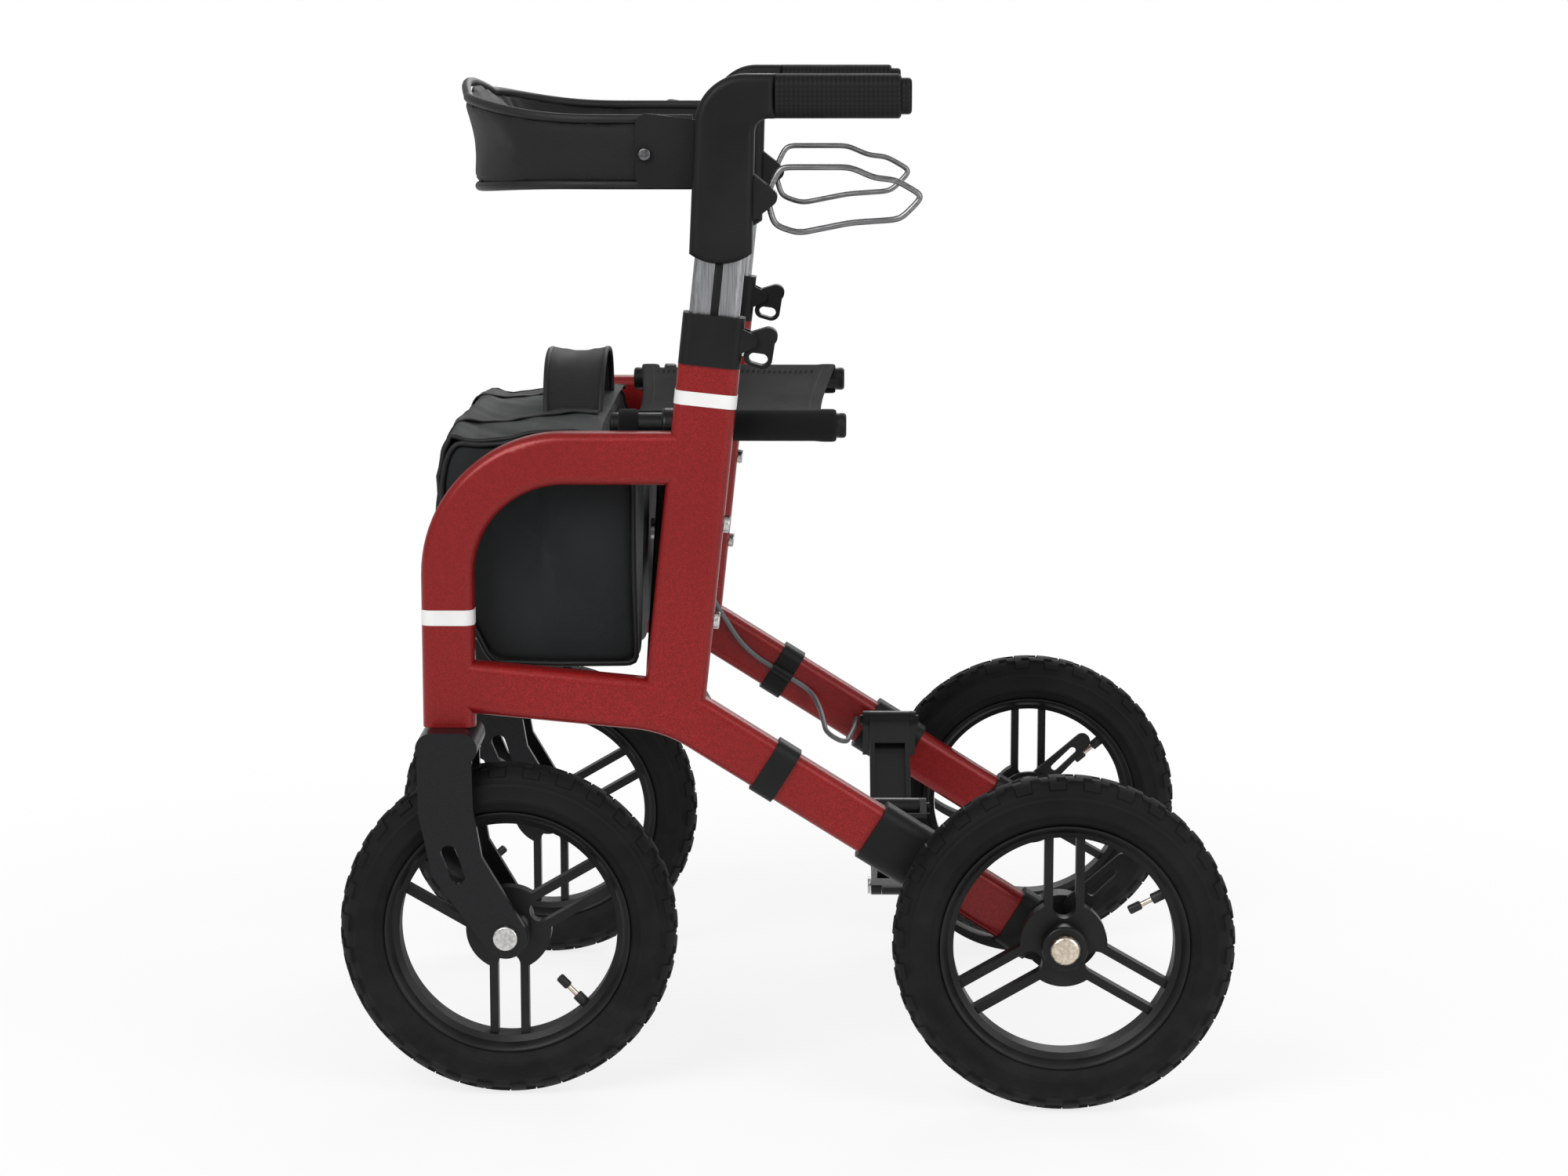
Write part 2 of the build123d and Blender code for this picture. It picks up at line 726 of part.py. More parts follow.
def rim(x, y, hub_w, axle_r, turn):
    """Moulded wheel: rim, hub and three pairs of slim twin spokes that run into a lobed web."""
    bed = rim_bed_w / 2
    inner = rim_inner_w / 2
    section = Polyline(
        (tyre_bed_r, -bed), (tyre_bed_r, bed), (rim_inner_r, inner), (rim_inner_r, -inner), (tyre_bed_r, -bed)
    )
    body = revolve(Plane.XZ * make_face(section), axis=Axis.Z)
    slot_w = spoke_gap - spoke_w
    reach = rim_inner_r + 3
    web = Circle(hub_web_r)
    for pair in range(spoke_pairs):
        heading = turn + pair * 360 / spoke_pairs
        web += Rot(0, 0, heading) * Pos(reach / 2, 0) * Rectangle(reach, spoke_gap + spoke_w)
    for pair in range(spoke_pairs):
        heading = turn + pair * 360 / spoke_pairs
        slot = hull((gap_start_r + slot_w / 2, 0, slot_w / 2), (reach + slot_w, 0, slot_w / 2))
        web -= Rot(0, 0, heading) * slot
    body += extrude(web, amount=spoke_t / 2, both=True)
    hub = Cylinder(hub_r, hub_w)
    body += fillet(hub.edges().filter_by(GeomType.CIRCLE), radius=3)
    body -= Cylinder(axle_r + hinge_clearance, 2 * hub_w)
    return Pos(x, y, wheel_r) * Rot(-90, 0, 0) * body


def rear_axle():
    """Rear axle from the casting through the hub, with its domed cap."""
    hub_end = rear_wheel_y + rear_hub_w / 2 + side_play
    body = rod_y(-axle_x, wheel_r, rear_axle_r, frame_inner_y, hub_end + 1)
    cap = rod_y(-axle_x, wheel_r, axle_cap_r, hub_end, hub_end + axle_cap_t)
    cap = fillet(cap.faces().sort_by(Axis.Y)[-1].edges(), radius=4)
    return body + cap


def brake_pivot():
    """Place of the brake arm's stud, as x and z."""
    return -axle_x + brake_pivot_dx, wheel_r + brake_pivot_dz


def axle_housing():
    """Casting on the leg's end: socket, axle boss, brake back plate, stud and tipping pedal."""
    half = tube_t / 2
    outline = hull((-axle_x, wheel_r, boss_r), (leg_end_x - 4, leg_end_z, tube_h / 2 + 3))
    body = slab(outline, frame_y - half, frame_y + half)
    grow = 2 * (socket_wall + sleeve_clearance)
    sleeve = RectangleRounded(tube_t + grow, tube_h + grow, tube_corner + socket_wall)
    body += extrude(leg_frame(leg_end_x - 6) * sleeve, amount=socket_len)
    plate_low = frame_y + half
    body += rod_y(-axle_x, wheel_r, boss_r + 3, frame_y - half - 2, plate_low)
    body += rod_y(-axle_x, wheel_r, drum_r - 1, plate_low - 1, plate_low + drum_t)
    px, pz = brake_pivot()
    stud_end = plate_low + drum_t + side_play + brake_arm_t
    body += rod_y(px, pz, pin_r, plate_low, stud_end)
    low = [(-axle_x + 16, 133), (-axle_x + 60, 135), (-axle_x + 97, 152)]
    high = [(x, z + pedal_t) for x, z in low]
    pedal = make_face(
        [ThreePointArc(*low), Line(low[2], high[2]), ThreePointArc(*reversed(high)), Line(high[0], low[0])]
    )
    body += slab(pedal, frame_y - pedal_w / 2, frame_y + pedal_w / 2)
    room = 2 * sleeve_clearance
    pocket = RectangleRounded(tube_t + room, tube_h + room, tube_corner)
    body -= extrude(leg_frame(leg_end_x) * pocket, amount=3 * socket_len)
    return body - rod_y(-axle_x, wheel_r, rear_axle_r + sleeve_clearance, frame_y - 60, frame_y + 60)


def brake_arm():
    """Arm that works the drum brake, rocking on the back plate's stud."""
    px, pz = brake_pivot()
    low = frame_outer_y + drum_t + side_play
    outline = hull((px, pz, 11), (px + brake_arm_dx, pz + brake_arm_dz, 8))
    slot = hull((px - 14, pz + 13, 3.5), (px - 32, pz + 30.5, 3.5))
    body = slab(outline - slot, low, low + brake_arm_t)
    return body - rod_y(px, pz, pin_r + hinge_clearance, low - 5, low + 2 * brake_arm_t)


def blade_outline():
    """Side outline of a fork blade, swept back from the crown to the wheel's centre."""
    upper = hull((post_x + 2, 306, 24), (post_x + 1, 262, 24))
    middle = hull((post_x + 1, 262, 24), (post_x - 8, 214, 23))
    lower = hull((post_x - 8, 214, 23), (axle_x, wheel_r, 19))
    slot = hull((post_x - 1, 226, 7), (post_x - 9, 204, 6))
    return upper + middle + lower - slot


def fork():
    """Caster fork: crown, two swept blades with a lightening slot, and the steering stem."""
    gap = blade_gap / 2
    crown_top = post_bottom_z - seat_gap
    body = slab(
        hull((post_x - 1, crown_top - 14, 14), (post_x + 13, crown_top - 14, 14), (post_x - 13, crown_top - 14, 14)),
        frame_y - gap - blade_t,
        frame_y + gap + blade_t,
    )
    flat_top = Pos(post_x, frame_y, crown_top + 20) * Box(200, 200, 40)
    wheel_room = Pos(axle_x, frame_y, wheel_r) * Rot(90, 0, 0) * Cylinder(wheel_r + 6, blade_gap)
    for low in (frame_y - gap - blade_t, frame_y + gap):
        body += slab(blade_outline(), low, low + blade_t)
    body -= flat_top
    body -= wheel_room
    body += Pos(post_x, frame_y, crown_top + stem_len / 2 - 2) * Cylinder(stem_r, stem_len + 4)
    return body - rod_y(axle_x, wheel_r, front_axle_r + sleeve_clearance, frame_y - 80, frame_y + 80)


def front_axle():
    """Front axle bolt with a head on both ends."""
    reach = blade_gap / 2 + blade_t
    body = rod_y(axle_x, wheel_r, front_axle_r, frame_y - reach, frame_y + reach)
    for sign in (-1, 1):
        face = frame_y + sign * reach
        head = rod_y(axle_x, wheel_r, 11, min(face, face + sign * 5), max(face, face + sign * 5))
        head = fillet(head.faces().sort_by(Axis.Y)[-1 if sign > 0 else 0].edges(), radius=2)
        body += head
    return body


def corner_radius(before, corner, after):
    """The largest comfortable arc at a corner: it takes 0.45 of the shorter run on each side."""
    first = Vector(*corner) - Vector(*before)
    second = Vector(*after) - Vector(*corner)
    turn = math.radians(first.get_angle(second))
    return 0.45 * min(first.length, second.length) / math.tan(turn / 2)


def cable_tube(points):
    """A round cable through chosen points, with an arc at each corner."""
    radii = [corner_radius(*points[i - 1 : i + 2]) for i in range(1, len(points) - 1)]
    path = FilletPolyline(*points, radius=radii)
    start = Plane(origin=path @ 0, z_dir=path % 0)
    return sweep(start * Circle(cable_r), path=path)


def brake_cable():
    """Brake cable in view: from the column's foot along the leg with a slack loop, back into the leg."""
    loop_y = cable_y - cable_loop
    out_x = column_x(400)
    return cable_tube(
        [
            (out_x, frame_inner_y, 398),
            (out_x, cable_y - 9, 398),
            (70, cable_y - 3, 356),
            (44, cable_y, leg_z(44)),
            (-22, cable_y, leg_z(-22)),
            (-31, cable_y - 30, leg_z(-31) - 7),
            (-37, loop_y, leg_z(-37) - 20),
            (-56, loop_y - 2, leg_z(-56) - 18),
            (-64, cable_y - 34, leg_z(-64) - 6),
            (-67, cable_y - 8, leg_z(-67)),
            (-67, frame_inner_y, leg_z(-67)),
        ]
    )


def bag():
    """Shopping bag between the side frames, in front of the cross brace, cut back round the seat rails."""
    drawn = make_face(
        Polyline(
            (bag_back_x, bag_bottom_z),
            (262, bag_bottom_z),
            (286, 425),
            (306, 520),
            (297, 570),
            (262, 606),
            (214, 626),
            (207, 652),
            (158, 648),
            (bag_top_back_x, bag_notch_z + 14),
            (bag_back_x, bag_notch_z),
            (bag_back_x, bag_bottom_z),
        )
    )
    body = extrude(side_plane(0) * drawn, amount=bag_half_w, both=True)
    for x, z in ((bag_strap_x, hoop_z), (post_x - bag_strap_w / 2, bag_strap_z)):
        body += slab(Pos(x, z) * Rectangle(bag_strap_w, bag_strap_t), -frame_inner_y, frame_inner_y)
    return body


def mirrored(piece):
    """The right-hand copy of a left-hand piece."""
    return mirror(piece, about=Plane.XZ)


def save(name, piece):
    """Write one node."""
    export_step(piece, f"parts/{name}.step")


pairs = {
    "side_frame": side_frame(),
    "thread_inserts": thread_inserts(),
    "column_collar": column_collar(),
    "clamp_lever": clamp_lever(),
    "mast": mast(),
    "handle_housing": handle_housing(),
    "grip": grip(),
    "brake_lever": brake_lever(),
    "backrest_bracket": backrest_bracket(),
    "seat_rail": seat_rail(),
    "rail_caps": rail_caps(),
    "seat_panel": seat_panel(),
    "saddle": saddle(),
    "leg_clamp": leg_clamp(),
    "leg_band": leg_band(),
    "rear_tyre": tyre(-axle_x, rear_wheel_y),
    "rear_rim": rim(-axle_x, rear_wheel_y, rear_hub_w, rear_axle_r, -90),
    "rear_axle": rear_axle(),
    "axle_housing": axle_housing(),
    "brake_arm": brake_arm(),
    "front_tyre": tyre(axle_x, frame_y),
    "front_rim": rim(axle_x, frame_y, front_hub_w, front_axle_r, 90),
    "front_axle": front_axle(),
    "fork": fork(),
    "brake_cable": brake_cable(),
}
for name, piece in pairs.items():
    save(f"{name}_left", piece)
    save(f"{name}_right", mirrored(piece))

# Layer 1 holds the arm whose foot is on the left, layer -1 the other.
save("brace_arm_a", brace_arm(1, 1))
save("brace_arm_b", brace_arm(-1, -1))
save("pivot_bracket_left", pivot_bracket(1))
save("pivot_bracket_right", mirrored(pivot_bracket(-1)))
save("centre_pin", centre_pin())
save("rear_link_left", rear_link(1))
save("rear_link_right", rear_link(-1))
save("knee_pin", knee_pin())
save("backrest_band", backrest_band())
save("bag", bag())
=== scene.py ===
"""Looks of an all terrain rollator: finishes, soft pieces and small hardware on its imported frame."""

import logging
import math
from collections.abc import Callable
from dataclasses import dataclass
from enum import Enum

import bmesh
import bpy
from mathutils import Matrix, Vector

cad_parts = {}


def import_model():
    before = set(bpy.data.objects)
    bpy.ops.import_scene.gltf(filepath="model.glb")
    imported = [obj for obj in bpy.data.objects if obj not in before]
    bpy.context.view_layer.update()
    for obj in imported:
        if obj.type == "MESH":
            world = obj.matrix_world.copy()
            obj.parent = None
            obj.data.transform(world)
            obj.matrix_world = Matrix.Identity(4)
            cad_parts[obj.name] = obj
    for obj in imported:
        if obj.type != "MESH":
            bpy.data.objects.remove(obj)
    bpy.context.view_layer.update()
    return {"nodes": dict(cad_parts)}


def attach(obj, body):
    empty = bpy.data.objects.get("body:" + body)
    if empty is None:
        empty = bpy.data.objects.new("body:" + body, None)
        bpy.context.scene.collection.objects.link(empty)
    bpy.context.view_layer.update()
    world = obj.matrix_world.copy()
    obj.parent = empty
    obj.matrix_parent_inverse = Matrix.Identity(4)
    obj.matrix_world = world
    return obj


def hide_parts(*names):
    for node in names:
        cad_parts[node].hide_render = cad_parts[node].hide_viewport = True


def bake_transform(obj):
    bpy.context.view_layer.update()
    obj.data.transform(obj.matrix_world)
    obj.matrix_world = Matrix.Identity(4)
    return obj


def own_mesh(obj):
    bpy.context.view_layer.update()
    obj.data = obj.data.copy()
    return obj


log = logging.getLogger("rollator")

Point = tuple[float, float, float]
Colour = tuple[float, float, float]


class Side(Enum):
    """The two sides of the walker, as the sign of Y."""

    LEFT = 1
    RIGHT = -1

    @property
    def word(self) -> str:
        """The ending of this side's node names."""
        return self.name.lower()


# Mesh tools


def clear_selection() -> None:
    """Leaves edit mode and selects nothing."""
    if bpy.context.object and bpy.context.object.mode != "OBJECT":
        bpy.ops.object.mode_set(mode="OBJECT")
    bpy.ops.object.select_all(action="DESELECT")


def take(piece: bpy.types.Object) -> None:
    """Makes a piece the only selected and active object."""
    clear_selection()
    piece.select_set(True)
    bpy.context.view_layer.objects.active = piece


def named(name: str) -> bpy.types.Object:
    """Names the object that an operator just added.

    Args:
        name: The piece's name.

    Returns:
        The added object.
    """
    piece = bpy.context.object
    piece.name = name
    piece.data.name = name
    return piece


def settle(piece: bpy.types.Object) -> bpy.types.Object:
    """Moves an object's place, turn and scale into its mesh.

    Args:
        piece: The object to settle.

    Returns:
        The same object, at the origin.
    """
    take(piece)
    bpy.ops.object.transform_apply(location=True, rotation=True, scale=True)
    return piece


def open_edit(piece: bpy.types.Object, mode: str = "FACE") -> None:
    """Enters edit mode on a piece with nothing selected.

    Args:
        piece: The mesh to edit.
        mode: VERT, EDGE or FACE.
    """
    take(piece)
    bpy.ops.object.mode_set(mode="EDIT")
    bpy.ops.mesh.select_mode(type=mode)
    bpy.ops.mesh.select_all(action="DESELECT")


def close_edit() -> None:
    """Leaves edit mode."""
    bpy.ops.object.mode_set(mode="OBJECT")


def pick_faces(piece: bpy.types.Object, test: Callable[[Vector, Vector], bool]) -> int:
    """Selects the faces of the mesh in edit mode that pass a test.

    Args:
        piece: The mesh in edit mode.
        test: Takes a face's centre and normal.

    Returns:
        How many faces are selected.
    """
    mesh = bmesh.from_edit_mesh(piece.data)
    count = 0
    for face in mesh.faces:
        chosen = test(face.calc_center_median(), face.normal)
        face.select_set(chosen)
        count += chosen
    mesh.select_flush_mode()
    bmesh.update_edit_mesh(piece.data)
    return count


def pick_edges(piece: bpy.types.Object, test: Callable[[Vector, Vector], bool]) -> int:
    """Selects the edges of the mesh in edit mode that pass a test.

    Args:
        piece: The mesh in edit mode.
        test: Takes an edge's two ends.

    Returns:
        How many edges are selected.
    """
    mesh = bmesh.from_edit_mesh(piece.data)
    count = 0
    for edge in mesh.edges:
        chosen = test(edge.verts[0].co, edge.verts[1].co)
        edge.select_set(chosen)
        count += chosen
    mesh.select_flush_mode()
    bmesh.update_edit_mesh(piece.data)
    return count


def outward(piece: bpy.types.Object, merge: float = 0.00002) -> None:
    """Merges doubled points and turns every face outwards."""
    open_edit(piece)
    bpy.ops.mesh.select_all(action="SELECT")
    bpy.ops.mesh.remove_doubles(threshold=merge)
    bpy.ops.mesh.normals_make_consistent(inside=False)
    close_edit()


def modify(piece: bpy.types.Object, kind: str, **settings: object) -> None:
    """Adds one modifier to a piece and applies it.

    Args:
        piece: The mesh to change.
        kind: The modifier's type.
        **settings: Its values by name.
    """
    take(piece)
    modifier = piece.modifiers.new(kind.title(), kind)
    for key, value in settings.items():
        setattr(modifier, key, value)
    bpy.ops.object.modifier_apply(modifier=modifier.name)


def smooth(piece: bpy.types.Object, angle_deg: float = 35.0) -> None:
    """Shades a piece smooth up to an angle between its faces."""
    take(piece)
    bpy.ops.object.shade_smooth_by_angle(angle=math.radians(angle_deg))


def copy_of(piece: bpy.types.Object, name: str) -> bpy.types.Object:
    """Copies a piece with a mesh of its own.

    Args:
        piece: The piece to copy.
        name: The copy's name.

    Returns:
        The copy.
    """
    double = piece.copy()
    double.data = piece.data.copy()
    double.name = name
    double.data.name = name
    bpy.context.scene.collection.objects.link(double)
    return double


def mirrored_copy(piece: bpy.types.Object, name: str) -> bpy.types.Object:
    """Copies a piece to the other side of the walker.

    Args:
        piece: The piece to mirror across Y.
        name: The copy's name.

    Returns:
        The mirrored copy, faces outward.
    """
    double = copy_of(piece, name)
    double.data.transform(Matrix.Scale(-1, 4, Vector((0, 1, 0))))
    outward(double)
    return double


def rod(name: str, radius: float, ends: tuple[Point, Point], sides: int = 32, rim: float = 0.0) -> bpy.types.Object:
    """Models a round bar between two points, its rims bevelled.

    Args:
        name: The piece's name.
        radius: Its radius in metres.
        ends: The centres of its two ends.
        sides: How many sides it has.
        rim: The bevel of both rims, or 0 for none.

    Returns:
        The bar.
    """
    start, end = Vector(ends[0]), Vector(ends[1])
    run = end - start
    clear_selection()
    bpy.ops.mesh.primitive_cylinder_add(vertices=sides, radius=radius, depth=run.length, location=(start + end) / 2)
    piece = named(name)
    piece.rotation_euler = run.to_track_quat("Z", "Y").to_euler()
    settle(piece)
    if rim:
        open_edit(piece, "EDGE")
        heading = run.normalized()
        pick_edges(piece, lambda a, b: abs((b - a).normalized().dot(heading)) < 0.5)
        bpy.ops.mesh.bevel(offset=rim, segments=3, affect="EDGES")
        close_edit()
    smooth(piece)
    return piece


def block(name: str, size: Point, centre: Point, corner: float, turn: Point = (0, 0, 0)) -> bpy.types.Object:
    """Models a block with bevelled edges.

    Args:
        name: The piece's name.
        size: Its length, width and height.
        centre: Its middle.
        corner: The bevel of all edges.
        turn: Its turn about X, Y and Z in radians.

    Returns:
        The block.
    """
    clear_selection()
    bpy.ops.mesh.primitive_cube_add(size=1, location=centre, rotation=turn, scale=size)
    piece = settle(named(name))
    open_edit(piece, "EDGE")
    bpy.ops.mesh.select_all(action="SELECT")
    bpy.ops.mesh.bevel(offset=corner, segments=3, affect="EDGES")
    close_edit()
    smooth(piece)
    return piece


# Finishes


class Sheet:
    """A node tree under construction, of a material or of a group."""

    def __init__(self, tree: bpy.types.NodeTree) -> None:
        """Starts on a tree.

        Args:
            tree: The tree to build in.
        """
        self.tree = tree

    def node(self, kind: str, **settings: object) -> bpy.types.Node:
        """Adds a node.

        Args:
            kind: Its type without the ShaderNode prefix.
            **settings: Properties to set by name.

        Returns:
            The node.
        """
        made = self.tree.nodes.new(kind if kind.startswith("Node") else "ShaderNode" + kind)
        for key, value in settings.items():
            setattr(made, key, value)
        return made

    def wire(self, source: bpy.types.NodeSocket, target: bpy.types.NodeSocket) -> None:
        """Links an output to an input."""
        self.tree.links.new(source, target)

    def math(self, operation: str, *values: object) -> bpy.types.NodeSocket:
        """Adds a Math node.

        Args:
            operation: Its operation.
            *values: Sockets or numbers for its inputs.

        Returns:
            Its output.
        """
        made = self.node("Math", operation=operation)
        for slot, value in enumerate(values):
            if isinstance(value, bpy.types.NodeSocket):
                self.wire(value, made.inputs[slot])
            else:
                made.inputs[slot].default_value = value
        return made.outputs[0]

    def mix(self, factor: object, low: object, high: object) -> bpy.types.NodeSocket:
        """Adds a colour mix.

        Args:
            factor: Socket or number.
            low: Socket or colour at factor 0.
            high: Socket or colour at factor 1.

        Returns:
            The mixed colour.
        """
        made = self.node("Mix", data_type="RGBA")
        for slot, value in ((0, factor), (6, low), (7, high)):
            if isinstance(value, bpy.types.NodeSocket):
                self.wire(value, made.inputs[slot])
            elif slot:
                made.inputs[slot].default_value = (*value, 1)
            else:
                made.inputs[slot].default_value = value
        return made.outputs[2]

    def spread(self, value: bpy.types.NodeSocket, low: float, high: float, out: tuple[float, float]) -> bpy.types.NodeSocket:
        """Adds a smooth Map Range from low..high to the out range.

        Args:
            value: The value to map.
            low: The value that gives out[0].
            high: The value that gives out[1].
            out: The range that comes out.

        Returns:
            The mapped value.
        """
        made = self.node("MapRange", interpolation_type="SMOOTHSTEP")
        self.wire(value, made.inputs["Value"])
        made.inputs["From Min"].default_value = low
        made.inputs["From Max"].default_value = high
        made.inputs["To Min"].default_value = out[0]
        made.inputs["To Max"].default_value = out[1]
        return made.outputs[0]

    def noise(self, vector: bpy.types.NodeSocket, scale: object, detail: float = 3.0) -> bpy.types.NodeSocket:
        """Adds a noise texture.

        Args:
            vector: Where it is read.
            scale: Socket or number.
            detail: Its octaves.

        Returns:
            Its value, from 0 to 1.
        """
        made = self.node("TexNoise")
        made.inputs["Detail"].default_value = detail
        if isinstance(scale, bpy.types.NodeSocket):
            self.wire(scale, made.inputs["Scale"])
        else:
            made.inputs["Scale"].default_value = scale
        self.wire(vector, made.inputs["Vector"])
        return made.outputs["Fac"]


class Effect(Enum):
    """The surface effects that several finishes share, each one shader node group."""

    GRAIN = "moulded_grain"
    HANDLING = "handling_marks"
    DUST = "road_dust"
    WEAVE = "plain_weave"


@dataclass(frozen=True)
class EffectGroups:
    """Builds each shared effect once."""

    rise: float = 0.16

    def start(self, effect: Effect, ins: dict[str, float], outs: tuple[str, ...]) -> tuple[Sheet, bpy.types.Node, bpy.types.Node]:
        """Starts a group.

        Args:
            effect: Which effect it holds.
            ins: Its float inputs and their values.
            outs: Its float outputs.

        Returns:
            The sheet, the group's input node and its output node.
        """
        group = bpy.data.node_groups.new(effect.value, "ShaderNodeTree")
        for label, value in ins.items():
            group.interface.new_socket(label, in_out="INPUT", socket_type="NodeSocketFloat").default_value = value
        for label in outs:
            group.interface.new_socket(label, in_out="OUTPUT", socket_type="NodeSocketFloat")
        sheet = Sheet(group)
        return sheet, sheet.node("NodeGroupInput"), sheet.node("NodeGroupOutput")

    def grain(self) -> None:
        """Fine pebbled grain of moulded plastic and rubber."""
        sheet, given, result = self.start(Effect.GRAIN, {"Scale": 900, "Unevenness": 0.4}, ("Height", "Patches"))
        place = sheet.node("TexCoord").outputs["Object"]
        pebbles = sheet.node("TexVoronoi", feature="SMOOTH_F1")
        sheet.wire(place, pebbles.inputs["Vector"])
        sheet.wire(given.outputs["Scale"], pebbles.inputs["Scale"])
        fine = sheet.noise(place, sheet.math("MULTIPLY", given.outputs["Scale"], 1.7))
        height = sheet.math("ADD", pebbles.outputs["Distance"], sheet.math("MULTIPLY", fine, given.outputs["Unevenness"]))
        sheet.wire(height, result.inputs["Height"])
        sheet.wire(sheet.noise(place, 14, 4), result.inputs["Patches"])

    def handling(self) -> None:
        """Faint scratches and smudges of use."""
        sheet, given, result = self.start(Effect.HANDLING, {"Scale": 30, "Amount": 1}, ("Smudge", "Scratch"))
        place = sheet.node("TexCoord").outputs["Object"]
        smudge = sheet.noise(place, given.outputs["Scale"], 5)
        sheet.wire(sheet.math("MULTIPLY", smudge, given.outputs["Amount"]), result.inputs["Smudge"])
        stretch = sheet.node("Mapping")
        stretch.inputs["Scale"].default_value = (1, 6, 14)
        stretch.inputs["Rotation"].default_value = (0.3, 0.5, 0.2)
        sheet.wire(place, stretch.inputs["Vector"])
        lines = sheet.noise(stretch.outputs[0], sheet.math("MULTIPLY", given.outputs["Scale"], 2.4), 2)
        thin = sheet.spread(sheet.math("ABSOLUTE", sheet.math("SUBTRACT", lines, 0.5)), 0.0, 0.012, (1, 0))
        broken = sheet.spread(sheet.noise(place, 23, 2), 0.56, 0.64, (0, 1))
        scratch = sheet.math("MULTIPLY", sheet.math("MULTIPLY", thin, broken), given.outputs["Amount"])
        sheet.wire(scratch, result.inputs["Scratch"])

    def dust(self) -> None:
        """Dust that thins with height over the floor."""
        sheet, given, result = self.start(Effect.DUST, {"Top": 0.3, "Amount": 0.3}, ("Cover",))
        place = sheet.node("TexCoord").outputs["Object"]
        parts = sheet.node("SeparateXYZ")
        sheet.wire(place, parts.inputs[0])
        depth = sheet.math("SUBTRACT", 1, sheet.math("DIVIDE", parts.outputs["Z"], given.outputs["Top"]))
        low = sheet.math("MAXIMUM", depth, 0)
        clumps = sheet.spread(sheet.noise(place, 55, 6), 0.35, 0.75, (0.15, 1))
        sheet.wire(sheet.math("MULTIPLY", sheet.math("MULTIPLY", low, clumps), given.outputs["Amount"]), result.inputs["Cover"])

    def weave(self) -> None:
        """Plain weave, over and under, along the first UV map in metres."""
        sheet, given, result = self.start(Effect.WEAVE, {"Threads": 900, "Slub": 0.3}, ("Height", "Thread", "Slubs"))
        place = sheet.node("TexCoord").outputs["UV"]
        parts = sheet.node("SeparateXYZ")
        sheet.wire(place, parts.inputs[0])
        turns = sheet.math("MULTIPLY", given.outputs["Threads"], math.pi)
        along = sheet.math("SINE", sheet.math("MULTIPLY", parts.outputs["X"], turns))
        across = sheet.math("SINE", sheet.math("MULTIPLY", parts.outputs["Y"], turns))
        over = sheet.math("MULTIPLY", along, across)
        ridge = sheet.math("MAXIMUM", sheet.math("ABSOLUTE", along), sheet.math("ABSOLUTE", across))
        sheet.wire(sheet.math("ADD", ridge, sheet.math("MULTIPLY", over, 0.5)), result.inputs["Height"])
        sheet.wire(sheet.spread(over, -0.6, 0.6, (0, 1)), result.inputs["Thread"])
        stretch = sheet.node("Mapping")
        stretch.inputs["Scale"].default_value = (40, 900, 1)
        sheet.wire(place, stretch.inputs["Vector"])
        slubs = sheet.noise(stretch.outputs[0], 1, 2)
        sheet.wire(sheet.math("MULTIPLY", slubs, given.outputs["Slub"]), result.inputs["Slubs"])

    def build(self) -> None:
        """Builds every group."""
        self.grain()
        self.handling()
        self.dust()
        self.weave()


